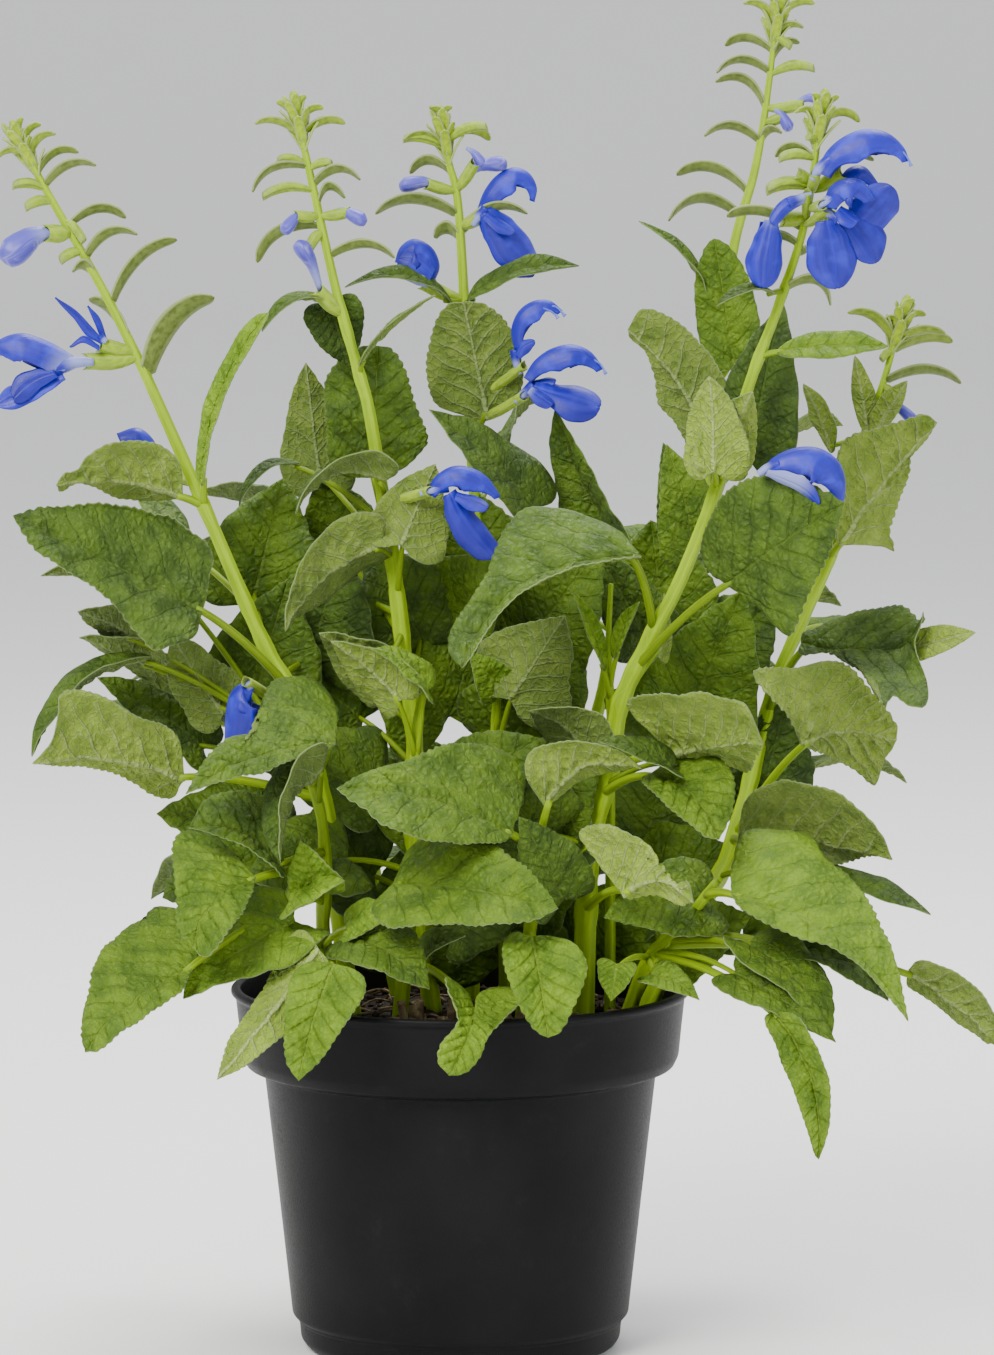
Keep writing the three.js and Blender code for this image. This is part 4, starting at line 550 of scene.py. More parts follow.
PETALS = {
    "flower_left_open": [
        ["hood", [(-5.6, 0, 1.4), (-10.1, 0, 4.3), (-15.2, 0, 6.8), (-21.6, 0, 8.8), (-27.4, 0, 7.8),
                  (-31.9, 0, 4.6), (-33.8, 0, 0.4)],
         [4.5, 7.1, 8, 8.3, 7.1, 4.8, 1.6], (0, 0, 1), 85, 0.1],
        ["lip", [(-9.4, -1, -3.4), (-14.6, -1.6, -6.3), (-20.3, -2.2, -8.9), (-25.5, -2.8, -10.5),
                  (-30.6, -3.4, -13.7)],
         [2.9, 3.8, 4.5, 5.4, 2.9], (-0.2, -0.75, 0.6), 35, 0.3],
        ["lip", [(-11.4, -4, -3.4), (-16.5, -4.6, -5), (-21.3, -5.2, -7.9), (-24.8, -5.8, -11.7)],
         [1.9, 3.2, 4.5, 2.9], (0.1, -1, 0.1), 30, 0.9],
        ["lip", [(-11.4, 5, -2.8), (-16.5, 5, -5), (-21.3, 5, -7.9), (-25.5, 5, -11.1)],
         [1.9, 3.2, 4.5, 2.9], (0.1, 1, 0.1), 30, 0.9],
    ],
    "flower_left_withered": [
        ["lip", [(0.1, 0, -0.8), (-3.8, -0.6, 3), (-8.9, -1.2, 8.8), (-15.3, -1.8, 13.6)],
         [1.6, 2.9, 2.2, 1], (0.5, -0.8, 0.4), 95, 0.75],
        ["lip", [(-1.2, -2, -2.1), (-6.3, -2.6, 0.8), (-10.8, -3.2, -2.1)],
         [1.6, 1.9, 1], (0.1, -0.7, 0.6), 70, 0.7],
        ["lip", [(0.4, 3, -0.2), (-1.8, 2.4, 6.3), (-5.1, 1.8, 10.7)],
         [1.6, 1.9, 0.6], (0.6, -0.8, 0.1), 80, 0.7],
    ],
    "flower_left_behind": [
        ["hood", [(0.2, 0, 0.7), (-1.6, 0, 6.9), (-6.7, 0, 11), (-13.5, 0, 9.2)],
         [3.2, 5.8, 7.2, 3.6], (0.2, 0, 1), 85, 0.6],
        ["lip", [(-0.8, -2, 0.1), (-5.4, -2.6, 2), (-10.6, -3.2, 4)],
         [2.3, 3.6, 2.6], (0, -0.8, 0.6), 40, 0.6],
    ],
    "flower_centre_top": [
        ["hood", [(-2.3, 0, 1.1), (0, 0, 7), (4, 0, 12), (9.3, 0, 14.6), (14.2, 0, 13), (16.9, 0, 8.3),
                  (16.2, 0, 3.4)],
         [3.3, 5.6, 6.6, 6.6, 5.3, 3.6, 1.3], (-1, 0, 0.6), 85, 0.35],
        ["lip", [(0.7, -3, 0.8), (5.2, -3.6, -5.2), (9.6, -4.2, -11.4), (13.6, -4.8, -16.6),
                 (15.9, -5.4, -21)],
         [3.4, 6.6, 8, 6.2, 2.2], (0.3, -1, 0.15), 45, 0.75],
        ["lip", [(0.4, -5, -0.6), (5, -5.6, -3.9), (9.6, -6.2, -6.5)],
         [2, 3, 1.6], (0.3, -0.8, 0.5), 40, 0.6],
        ["lip", [(-0.9, -2, -0.6), (0.4, -2.6, -5.2), (2.4, -3.2, -9.8)],
         [2, 2.6, 1.6], (-0.4, -1, 0.1), 40, 0.6],
    ],
    "flower_centre_bud": [
        ["hood", [(1.6, -4, 0.4), (3.9, -4, 6.2), (1.6, -4, 12.2), (-4.1, -4, 15.2), (-8.7, -4, 12.6),
                  (-10.5, -4, 7.6)],
         [4.2, 6.8, 8.2, 8.4, 6.6, 3.2], (1, 0, 0.4), 85, 0.35],
        ["lip", [(1.8, -8, 3.4), (-1.6, -9, 6.4), (-5.4, -9, 8.6), (-9.2, -8, 9.2)],
         [2.6, 5.4, 5.6, 3.4], (-0.1, -0.9, 0.3), 30, 0.75],
        ["lip", [(0.6, -9, 0.8), (-2.6, -10, 2.6), (-6.6, -10, 4.2), (-9.4, -9, 6)],
         [1.6, 2.4, 2.2, 1.2], (-0.1, -0.9, 0.4), 40, -0.9],
    ],
    "flower_centre_upper": [
        ["hood", [(-2.1, 0, 7.2), (-3.1, 0, 13.8), (-0.8, 0, 19.7), (3.8, 0, 23), (9.1, 0, 23.3),
                  (13.4, 0, 20)],
         [2.6, 4.3, 5.3, 5.3, 3.9, 1.6], (-1, 0, 0.2), 85, 0.35],
        ["lip", [(-1.4, -2, 5.2), (0.9, -2.6, 8.5), (4.2, -3.2, 10.5)],
         [1.6, 2.6, 1.3], (0.2, -0.8, 0.5), 40, 0.5],
    ],
    "flower_centre_right": [
        ["hood", [(2.9, 0, 7.3), (6.5, 0, 12.9), (12, 0, 16.8), (18.6, 0, 18.1), (24.5, 0, 15.8),
                  (28.8, 0, 10.3)],
         [2.6, 4.6, 6.6, 6.9, 5.2, 2], (-0.8, 0, 0.8), 85, 0.3],
        ["lip", [(6.1, -3, 4.7), (12, -3.6, 2.7), (19.2, -4.2, 0.7), (27.8, -4.8, -1.9)],
         [2.6, 4.9, 7.9, 5.6], (0.1, -0.8, 0.55), 40, 0.75],
        ["lip", [(4.8, -6, 4), (8.1, -6.6, 1.4), (12, -7.2, -1.2)],
         [1.6, 3, 2.3], (0, -0.8, 0.6), 40, 0.1],
        ["lip", [(5.5, 1, 6), (9.7, 0.4, 6.6), (13.3, -0.2, 6.6)],
         [1.6, 2.6, 2], (0, -0.6, 0.8), 40, 0.5],
    ],
    "flower_low": [
        ["hood", [(-2.6, 0, -0), (0.3, 0, 5.2), (5.5, 0, 8.4), (11.3, 0, 8.1), (16.8, 0, 4.8), (21, 0, -1.3)],
         [2.6, 4.5, 6.5, 6.8, 5.2, 1.9], (-0.8, 0, 0.8), 85, 0.45],
        ["lip", [(4.8, -3, 0.3), (7.7, -3.6, -5.8), (11.9, -4.2, -12.3), (16.4, -4.8, -17.4),
                  (19.7, -5.4, -21)],
         [2.9, 5.2, 6.1, 5.2, 1.9], (0.2, -1, 0.2), 50, 0.95],
        ["lip", [(6.8, -5, -0.3), (11.9, -5.6, -2.3), (17.1, -6.2, -4.2)],
         [1.9, 3.2, 2.3], (0.2, -0.8, 0.5), 40, 0.8],
        ["lip", [(4.2, -1, -0.3), (5.5, -1.6, -5.5), (7.4, -2.2, -10.7)],
         [1.9, 2.6, 1.6], (-0.4, -1, 0.1), 40, 0.7],
    ],
    "flower_hanging_bud": [
        ["hood", [(1.5, 0, -1.2), (-2.3, 0, 0.1), (-5.9, 0, -3.1), (-7.4, 0, -9.5), (-7.8, 0, -17.8)],
         [4.5, 7.7, 9.3, 8.9, 7], (-0.4, 0, 1), 85, 0.5],
        ["lip", [(0.2, 0, -1.8), (0.2, -0.6, -6.9), (-0.4, -1.2, -12)],
         [2.2, 3.2, 2.6], (0.8, -0.6, 0.1), 70, 0.45],
    ],
    "flower_right_top": [
        ["hood", [(0.2, 0, 0.7), (2.8, 0, 7), (8.1, 0, 11.8), (14.7, 0, 14.3), (21.7, 0, 13.3),
                  (26.7, 0, 9.2), (28.9, 0, 4.5)],
         [3.8, 5.7, 7.6, 7.9, 6.6, 4.4, 1.9], (-0.8, 0, 1), 85, 0.3],
        ["hood", [(6.5, 6, -2.7), (10.3, 6, 2), (15.4, 6, 2.3), (20.4, 6, -4)],
         [2.8, 4.7, 4.7, 1.9], (-0.6, 0, 1), 80, 0.45],
    ],
    "flower_right_mid": [
        ["hood", [(-1.2, 0, -5.5), (0.7, 0, 0.1), (5.7, 0, 2.9), (11.2, 0, 1.9), (14.6, 0, -3.6)],
         [3.4, 6.2, 8.2, 7.4, 3.2], (-0.8, 0, 1), 85, 0.45],
        ["lip", [(8.8, 5, -14), (13.4, 4.4, -8.5), (17.4, 3.8, -4.1), (20.6, 3.2, 0.5)],
         [3.5, 7.2, 7.2, 3.4], (0.1, -1, -0.1), 35, 0.75],
    ],
    "flower_right_low": [
        ["lip", [(-1.4, -2, -1), (-0.4, -2.6, -7.3), (0.8, -3.2, -14.2), (2.1, -3.8, -22.4)],
         [3.6, 7.6, 8.8, 4.6], (0.1, -1, 0.1), 40, 0.7],
        ["lip", [(4.9, 2, 1.6), (9.3, 1.4, -3.2), (13.1, 0.8, -8.5), (15, 0.2, -14.2)],
         [3.6, 7.2, 7.2, 3.2], (0.3, -1, 0.1), 40, 0.8],
        ["lip", [(2.4, -4, 2.8), (4.9, -4.6, 0.3), (8.1, -5.2, -1.6)],
         [2.2, 3.5, 2.8], (0.2, -0.8, 0.5), 40, 0.35],
    ],
    "flower_right_cup": [
        ["lip", [(-9.5, -1, -4.1), (-10.8, -1.6, -10.4), (-12.1, -2.2, -17.3), (-12.4, -2.8, -25.2)],
         [2.8, 5.7, 7.3, 4.7], (-0.1, -1, 0.1), 62, 0.2],
        ["lip", [(-10.5, 6, -4.7), (-10.5, 6, -11.6), (-10.5, 6, -18), (-11.1, 6, -24.3)],
         [2.8, 5, 6.3, 3.8], (0.1, 1, 0.1), 62, 0.4],
        ["lip", [(1.5, 0, 3.2), (-2.3, -0.6, 2.6), (-6.4, -1.2, 0), (-9.9, -1.8, -4.7)],
         [1.9, 3.2, 3.5, 3.2], (-0.2, -1, 0.4), 80, -0.05],
    ],
    "flower_resting": [
        ["hood", [(-1.6, 0, -0.1), (2.5, 0, 3.9), (9.4, 0, 6.8), (16.6, 0, 6.5), (22.3, 0, 2.4),
                  (24.5, 0, -3.9), (23.9, 0, -10.8)],
         [2.5, 5.7, 8.5, 10.1, 9.8, 7.9, 3.1], (-0.2, 0, 1), 80, 0.35],
        ["lip", [(-0.4, -3, -1.1), (5.3, -3.6, -3), (11, -4.2, -5.8), (16.3, -4.8, -10.5)],
         [1.6, 3.1, 3.8, 1.9], (-0.1, -0.7, -0.6), 40, -0.5],
    ],
}

# The tube of each flower: its spine from the same place, and its radius along it.

TUBES = {
    "flower_left_open": [
        [(0.8, 0, -0.2), (-4.3, 0, -0.2), (-8.8, 0, -1.2), (-12, 0, -2.4)], [1.6, 2.4, 3.2, 3.5]],
    "flower_left_withered": [[(0.7, 0, -0.8), (-1.2, 0, 1.1)], [1.3, 1.4]],
    "flower_left_behind": [[(1.1, 0, -0.6), (-1.5, 0, 2)], [1.6, 2.6]],
    "flower_centre_top": [[(-3.9, -1, -4.5), (-1.9, -1, -1.2), (0.4, -1, 1.4)], [1.3, 2, 2.6]],
    "flower_centre_bud": [[(2.2, 0, -1.6), (1.5, 0, 1), (0.2, 0, 3.7)], [1.3, 2, 2.3]],
    "flower_centre_upper": [[(-0.1, 0, -0.7), (-1.8, 0, 3.2), (-2.4, 0, 7.2)], [1.2, 1.5, 1.8]],
    "flower_centre_right": [[(-0.1, 0, -0.6), (2.9, 0, 2.1), (6.1, 0, 5)], [1.3, 2, 2.5]],
    "flower_low": [[(-4.9, 0, -0.3), (-0.3, 0, 1), (4.2, 0, 2.2)], [1.3, 1.9, 2.6]],
    "flower_hanging_bud": [[(0.8, 0, 1.1), (-0.4, 0, -1.2), (-1.7, 0, -3.7)], [1.3, 1.9, 2.6]],
    "flower_right_top": [[(-1.7, 0, -1.5), (0.9, 0, 2.3), (4.6, 0, 5.5)], [1.3, 2.2, 2.5]],
    "flower_right_mid": [[(-3.1, 0, -6.1), (0.1, 0, -3.6), (3.2, 0, -2.4)], [1.3, 1.9, 2.5]],
    "flower_right_low": [[(-2.6, 0, 2.8), (-0.1, 0, 0.9), (2.4, 0, -1)], [1.3, 1.9, 2.8]],
    "flower_right_cup": [[(3.4, 0, 4.1), (-0.4, 0, 2.9), (-4.2, 0, 1.3)], [1.1, 1.6, 2.2]],
    "flower_resting": [[(-2.9, 0, -1.4), (0.3, 0, 0.5), (4, 0, 1.7)], [1.3, 1.9, 2.8]],
}

# Stamens that show: the spine of each.

STAMENS = {
    "flower_centre_upper": [
        [(7.8, -1, 21.6), (11.4, -1, 21.3), (14.4, -1, 18.4)],
        [(7.1, -2, 21), (10.1, -2, 19.7), (12.1, -2, 17.7)]],
    "flower_hanging_bud": [[(-1.1, -1, -6.9), (0.2, -1, -12.7), (1.2, -1, -18.1)]],
    "flower_centre_right": [[(24.5, -1, 13.9), (27.8, -1, 11.9), (29.7, -1, 8.6)]],
    "flower_right_top": [[(24.8, -1, 9.2), (28, -1, 6.1), (29.6, -1, 2.9)]],
    "flower_left_open": [[(-29.3, -1, 5.2), (-32.5, -1, 1.7), (-34.1, -1, -2.1)]],
}

# ---- Ways through space: each gives a place and a direction for 0 to 1 ----


def step_and_rest(t, steps):
    """Which of a number of even steps t, from 0 to 1, falls in, and how far along that step."""
    spot = min(max(t, 0), 0.99999) * steps
    return int(spot), spot - int(spot)


def smooth_way(points):
    """A smooth way through all the points."""
    ends = [2 * points[0] - points[1], *points, 2 * points[-1] - points[-2]]

    def at(t):
        first, w = step_and_rest(t, len(points) - 1)
        a, b, c, d = ends[first:first + 4]
        square, cube = 2 * a - 5 * b + 4 * c - d, 3 * b - a - 3 * c + d
        place = 0.5 * (2 * b + (c - a) * w + square * w**2 + cube * w**3)
        pull = 0.5 * ((c - a) + 2 * square * w + 3 * cube * w**2)
        return place, pull.normalized()

    return at


def arched_way(start, bend, end):
    """A way from start to end that is drawn towards bend."""
    def at(t):
        place = start * (1 - t) ** 2 + bend * (2 * t * (1 - t)) + end * t**2
        pull = (bend - start) * (1 - t) + (end - bend) * t
        return place, pull.normalized()

    return at


def through(values, t):
    """A value read smoothly from an evenly spaced row of values."""
    first, w = step_and_rest(t, len(values) - 1)
    w = w * w * (3 - 2 * w)
    return values[first] * (1 - w) + values[first + 1] * w


# ---- Shapes ----


def new_piece():
    bm = bmesh.new()
    bm.verts.layers.float_vector.new("blade")
    bm.verts.layers.float_vector.new("spot")
    return bm


def rod(bm, way, length, radius_at, sides, steps, finish, tone=0.5, ridge=0.0, flat=1.0, first_side=None):
    """A closed rod along a way, with a radius for each place and, if it has ridges, four of them."""
    blade = bm.verts.layers.float_vector["blade"]
    spot = bm.verts.layers.float_vector["spot"]
    ring = bmesh.ops.create_circle(bm, cap_ends=True, radius=1, segments=sides)["verts"]
    for i, v in enumerate(ring):
        v[blade] = (i / sides, 0, tone)
    faces = set(ring[0].link_faces)
    edges = list({e for v in ring for e in v.link_edges})
    place, pull = way(0)
    across = first_side or (Vector((0.3, -1, 0.1)) if abs(pull.y) < 0.8 else Vector((1, 0.2, 0)))
    for step in range(steps + 1):
        t = step / steps
        place, pull = way(t)
        across = (across - pull * across.dot(pull)).normalized()
        above = pull.cross(across)
        if step:
            made = bmesh.ops.extrude_edge_only(bm, edges=edges)["geom"]
            ring = [g for g in made if isinstance(g, bmesh.types.BMVert)]
            held = set(ring)
            edges = [g for g in made if isinstance(g, bmesh.types.BMEdge)
                     and g.verts[0] in held and g.verts[1] in held]
            faces.update(g for g in made if isinstance(g, bmesh.types.BMFace))
        radius = radius_at(t)
        for v in ring:
            turn = v[blade].x * 2 * math.pi
            reach = radius * (1 + ridge * math.cos(4 * turn))
            v.co = place + across * (math.cos(turn) * reach) + above * (math.sin(turn) * reach * flat)
            v[blade] = (v[blade].x, t, tone)
            v[spot] = (turn * radius, t * length, length)
    faces.update(bmesh.ops.contextual_create(bm, geom=edges)["faces"])
    bmesh.ops.recalc_face_normals(bm, faces=list(faces))
    for f in faces:
        f.material_index = finish
        f.smooth = True
    return faces


def sheet(bm, place, across, along, thickness, finishes, tone, measure, points=(True, True)):
    """A thin blade or petal. place(s, v) is a point of its upper side: s from -1 to 1 across, v from 0 to 1.
    measure(s, v) is the same point on the flat blade, and the blade's length."""
    blade = bm.verts.layers.float_vector["blade"]
    spot = bm.verts.layers.float_vector["spot"]
    upper = bmesh.ops.create_grid(bm, x_segments=across, y_segments=along, size=1)["verts"]
    upper_faces = list({f for v in upper for f in v.link_faces})
    for v in upper:
        s, t = v.co.x, (v.co.y + 1) / 2
        v[blade] = (s, t, tone)
        v[spot] = measure(s, t)
    for v in upper:
        v.co = place(v[blade].x, v[blade].y)
    for f in upper_faces:
        f.normal_update()
    for v in upper:
        v.normal_update()
    twin = bmesh.ops.duplicate(bm, geom=upper_faces + upper + list({e for f in upper_faces for e in f.edges}))
    pairs = twin["vert_map"]
    lower_faces = [g for g in twin["geom"] if isinstance(g, bmesh.types.BMFace)]
    depth = thickness if callable(thickness) else (lambda s, v: thickness)
    for v in upper:
        pairs[v].co = v.co - v.normal * depth(v[blade].x, v[blade].y)
    bmesh.ops.reverse_faces(bm, faces=lower_faces)
    rims = [e for f in upper_faces + lower_faces for e in f.edges if len(e.link_faces) == 1]
    rim_faces = bmesh.ops.bridge_loops(bm, edges=list(set(rims)))["faces"]
    bmesh.ops.recalc_face_normals(bm, faces=upper_faces + lower_faces + rim_faces)
    for group, finish in ((upper_faces, 0), (lower_faces, 1), (rim_faces, 2)):
        for f in group:
            f.material_index = finishes[finish]
            f.smooth = True
    rows = [[v for v in upper if abs(v[blade].y - end) < 1e-4] for end, wanted in enumerate(points) if wanted]
    for group in rows + [[pairs[v] for v in row] for row in rows]:
        middle = sum((v.co for v in group), Vector()) / len(group)
        bmesh.ops.pointmerge(bm, verts=group, merge_co=middle)


def finish_piece(name, bm, nodes, finishes):
    bmesh.ops.dissolve_degenerate(bm, dist=1e-5, edges=bm.edges)
    bmesh.ops.scale(bm, vec=(MM, MM, MM), verts=bm.verts)
    mesh = bpy.data.meshes.new(name)
    bm.to_mesh(mesh)
    bm.free()
    for finish in finishes:
        mesh.materials.append(finish)
    piece = bpy.data.objects.new(name, mesh)
    bpy.context.scene.collection.objects.link(piece)
    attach(piece, "root")
    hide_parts(*nodes)


# ---- Finishes ----


class Finish:
    """A material under construction: short names for the nodes it needs."""

    def __init__(self, name, **constants):
        self.material = bpy.data.materials.new(name)
        self.material.use_nodes = True
        self.tree = self.material.node_tree
        self.shader = self.tree.nodes["Principled BSDF"]
        for key, value in constants.items():
            self.shader.inputs[key.replace("_", " ")].default_value = value

    def node(self, kind, inputs, **settings):
        made = self.tree.nodes.new(kind)
        for key, value in settings.items():
            setattr(made, key, value)
        for key, value in inputs.items():
            self.feed(made.inputs[key], value)
        return made

    def feed(self, socket, value):
        if isinstance(value, bpy.types.NodeSocket):
            self.tree.links.new(value, socket)
        else:
            socket.default_value = value

    def calc(self, work, *values, clamp=False):
        inputs = dict(enumerate(values))
        return self.node("ShaderNodeMath", inputs, operation=work, use_clamp=clamp).outputs[0]

    def between(self, value, low, high, first=0.0, last=1.0):
        """A soft step of a value from low to high."""
        inputs = {"Value": value, "From Min": low, "From Max": high, "To Min": first, "To Max": last}
        return self.node("ShaderNodeMapRange", inputs, interpolation_type="SMOOTHSTEP").outputs["Result"]

    def blend(self, share, first, second):
        made = self.node("ShaderNodeMix", {}, data_type="RGBA")
        self.feed(made.inputs[0], share)
        self.feed(made.inputs[6], first)
        self.feed(made.inputs[7], second)
        return made.outputs[2]

    def layers(self, colour, *layers):
        """The colour with others laid over it: what shows where, how strongly, and its colour."""
        for share, strength, other in layers:
            colour = self.blend(self.calc("MULTIPLY", share, strength), colour, other)
        return colour

    def marks(self, name):
        """The three numbers that a piece's points carry under a name."""
        vector = self.node("ShaderNodeAttribute", {}, attribute_name=name).outputs["Vector"]
        parts = self.node("ShaderNodeSeparateXYZ", {"Vector": vector})
        return [parts.outputs[i] for i in range(3)]

    def join(self, x, y, z):
        return self.node("ShaderNodeCombineXYZ", {"X": x, "Y": y, "Z": z}).outputs[0]

    def noise(self, place, scale, detail=2.0, rough=0.5):
        inputs = {"Scale": scale, "Detail": detail, "Roughness": rough}
        if place:
            inputs["Vector"] = place
        return self.node("ShaderNodeTexNoise", inputs).outputs["Fac"]

    def object_place(self):
        return self.node("ShaderNodeTexCoord", {}).outputs["Object"]

    def relief(self, height, strength, distance):
        inputs = {"Strength": strength, "Distance": distance, "Height": height}
        bumps = self.node("ShaderNodeBump", inputs).outputs["Normal"]
        self.tree.links.new(bumps, self.shader.inputs["Normal"])

    def done(self, colour, rough_by, low, high, rough_low, rough_high):
        """The finished material: its colour, and a roughness that follows a value."""
        self.feed(self.shader.inputs["Base Color"], colour)
        self.feed(self.shader.inputs["Roughness"], self.between(rough_by, low, high, rough_low, rough_high))
        return self.material


def leaf_pattern(f):
    """Midrib, side veins and the fine net between them, from a blade's own measure."""
    x, y, length = f.marks("spot")
    s, v, tone = f.marks("blade")
    off = f.calc("ABSOLUTE", x)
    edge = f.calc("ABSOLUTE", s)
    width = f.calc("MULTIPLY_ADD", v, -0.55, 0.85)
    midrib = f.between(f.calc("DIVIDE", off, width), 0.35, 1.0, 1.0, 0.0)
    spacing = f.calc("MULTIPLY", length, VEIN_SPACING)
    half_step = f.calc("MULTIPLY", f.calc("GREATER_THAN", x, 0.0), 0.5)
    sway = f.calc("MULTIPLY", f.calc("SINE", f.calc("MULTIPLY_ADD", off, VEIN_SWAY_RATE, length)), VEIN_SWAY)
    lean = f.calc("MULTIPLY_ADD", off, -VEIN_LEAN, f.calc("ADD", y, sway))
    row = f.calc("ADD", f.calc("DIVIDE", lean, spacing), half_step)
    near = f.calc("ABSOLUTE", f.calc("SUBTRACT", f.calc("FRACT", row), 0.5))
    gap = f.calc("MULTIPLY", f.calc("MULTIPLY", near, spacing), VEIN_SLANT)
    side_width = f.calc("MULTIPLY_ADD", edge, -0.3, 0.5)
    side = f.between(f.calc("DIVIDE", gap, side_width), 0.3, 1.1, 1.0, 0.0)
    side = f.calc("MULTIPLY", side, f.between(edge, 0.8, 0.98, 1.0, 0.2))
    spot = f.join(x, y, f.calc("MULTIPLY_ADD", length, 3.1, f.calc("MULTIPLY", tone, 9.0)))
    bent = f.node("ShaderNodeTexNoise", {"Vector": spot, "Scale": 0.35, "Detail": 1.0}).outputs["Color"]
    moved = f.node("ShaderNodeVectorMath", {0: bent, 1: (1.6, 1.6, 0.0), 2: spot}, operation="MULTIPLY_ADD")
    cells = f.node("ShaderNodeTexVoronoi", {"Vector": moved.outputs[0], "Scale": 0.4},
                   feature="DISTANCE_TO_EDGE").outputs["Distance"]
    small = f.node("ShaderNodeTexVoronoi", {"Vector": moved.outputs[0], "Scale": 1.1},
                   feature="DISTANCE_TO_EDGE").outputs["Distance"]
    net = f.between(cells, 0.0, 0.09, 1.0, 0.0)
    fine = f.between(small, 0.0, 0.12, 1.0, 0.0)
    swell = f.between(cells, 0.02, 0.42)
    veins = f.calc("MAXIMUM", midrib, side)
    return {"spot": spot, "edge": edge, "tone": tone, "midrib": midrib, "side": side,
            "veins": veins, "net": net, "fine": fine, "swell": swell}


def leaf_upper():
    f = Finish("leaf upper side", Sheen_Weight=0.02, Sheen_Roughness=0.45, Sheen_Tint=(0.75, 0.9, 0.55, 1),
               Specular_IOR_Level=0.22)
    p = leaf_pattern(f)
    patches = f.noise(p["spot"], 0.11, 3.0)
    # Painted shade and highlight: deep darkens the side veins, the net and the fine net as if shaded in their
    # grooves, and light also paints highlights on the swells between them. The pale midrib and the edge hairs
    # are the leaf's own colour.
    deep = f.blend(p["tone"], (0.0085, 0.02, 0.002, 1), (0.075, 0.15, 0.005, 1))
    dark = f.blend(p["tone"], (0.017, 0.038, 0.003, 1), (0.095, 0.19, 0.006, 1))
    light = f.blend(p["tone"], (0.052, 0.098, 0.007, 1), (0.21, 0.35, 0.012, 1))
    pale = f.blend(p["tone"], (0.06, 0.105, 0.012, 1), (0.21, 0.3, 0.03, 1))
    hairs = f.between(p["edge"], 0.965, 1.0)
    colour = f.layers(f.blend(f.between(patches, 0.3, 0.7), dark, light), (p["swell"], 0.5, light),
                      (p["net"], 0.25, deep), (p["fine"], 0.12, deep), (p["side"], 0.34, deep),
                      (p["midrib"], 0.5, pale), (hairs, 0.3, (0.18, 0.24, 0.08, 1)))
    grain = f.noise(p["spot"], 2.2, 3.0, 0.6)
    height = f.calc("MULTIPLY_ADD", p["veins"], -0.55, f.calc("MULTIPLY", p["swell"], 0.8))
    height = f.calc("MULTIPLY_ADD", p["fine"], -0.15, height)
    f.relief(f.calc("MULTIPLY_ADD", grain, 0.2, height), 0.8, 0.0009)
    return f.done(colour, grain, 0.3, 0.7, 0.46, 0.66)


def leaf_under():
    f = Finish("leaf underside", Sheen_Weight=0.05, Sheen_Roughness=0.5, Sheen_Tint=(0.85, 0.95, 0.7, 1),
               Specular_IOR_Level=0.25)
    p = leaf_pattern(f)
    patches = f.noise(p["spot"], 0.13, 3.0)
    dark = f.blend(p["tone"], (0.058, 0.098, 0.009, 1), (0.17, 0.27, 0.016, 1))
    light = f.blend(p["tone"], (0.11, 0.17, 0.02, 1), (0.28, 0.395, 0.036, 1))
    pale = f.blend(p["tone"], (0.16, 0.215, 0.07, 1), (0.32, 0.4, 0.13, 1))
    hairs = f.between(p["edge"], 0.965, 1.0)
    colour = f.layers(f.blend(f.between(patches, 0.3, 0.7), dark, light), (p["swell"], 0.45, dark),
                      (p["fine"], 0.22, pale), (p["net"], 0.42, pale), (p["side"], 0.6, pale),
                      (p["midrib"], 0.8, pale), (hairs, 0.35, (0.22, 0.28, 0.12, 1)))
    grain = f.noise(p["spot"], 2.6, 3.0, 0.6)
    height = f.calc("MULTIPLY_ADD", p["net"], 0.6, f.calc("MULTIPLY", p["veins"], 1.1))
    height = f.calc("MULTIPLY_ADD", p["swell"], -0.4, height)
    height = f.calc("MULTIPLY_ADD", p["fine"], 0.2, height)
    f.relief(f.calc("MULTIPLY_ADD", grain, 0.25, height), 0.8, 0.0009)
    return f.done(colour, grain, 0.3, 0.7, 0.65, 0.85)


def leaf_edge():
    f = Finish("leaf hairy edge", Sheen_Weight=0.15, Specular_IOR_Level=0.2)
    x, y, length = f.marks("spot")
    grain = f.noise(f.join(x, y, length), 1.8, 2.0)
    colour = f.blend(grain, (0.09, 0.14, 0.035, 1), (0.2, 0.26, 0.1, 1))
    return f.done(colour, grain, 0.3, 0.7, 0.7, 0.9)


def stem_skin():
    f = Finish("stem skin", Sheen_Weight=0.03, Sheen_Roughness=0.4, Sheen_Tint=(0.9, 1.0, 0.6, 1),
               Specular_IOR_Level=0.2)
    turn, _, tone = f.marks("blade")
    around, up, length = f.marks("spot")
    ridges = f.calc("COSINE", f.calc("MULTIPLY", turn, 8 * math.pi))
    ridges = f.between(ridges, -0.9, 0.9, 0.25, 0.9)
    drawn_out = f.join(f.calc("MULTIPLY", around, 2.2), f.calc("MULTIPLY", up, 0.12), length)
    streaks = f.noise(drawn_out, 1.0, 3.0)
    blotches = f.noise(f.join(around, up, length), 0.09, 2.0)
    dark = f.blend(tone, (0.06, 0.105, 0.001, 1), (0.175, 0.31, 0.0004, 1))
    light = f.blend(tone, (0.13, 0.2, 0.003, 1), (0.34, 0.51, 0.0012, 1))
    colour = f.layers(f.blend(ridges, dark, light), (f.between(streaks, 0.35, 0.7), 0.5, light),
                      (f.between(blotches, 0.45, 0.75), 0.4, dark))
    hairs = f.noise(f.join(f.calc("MULTIPLY", around, 5.0), f.calc("MULTIPLY", up, 2.0), length), 1.0, 2.0)
    f.relief(f.calc("MULTIPLY_ADD", hairs, 0.5, streaks), 0.3, 0.0003)
    return f.done(colour, streaks, 0.3, 0.7, 0.42, 0.6)


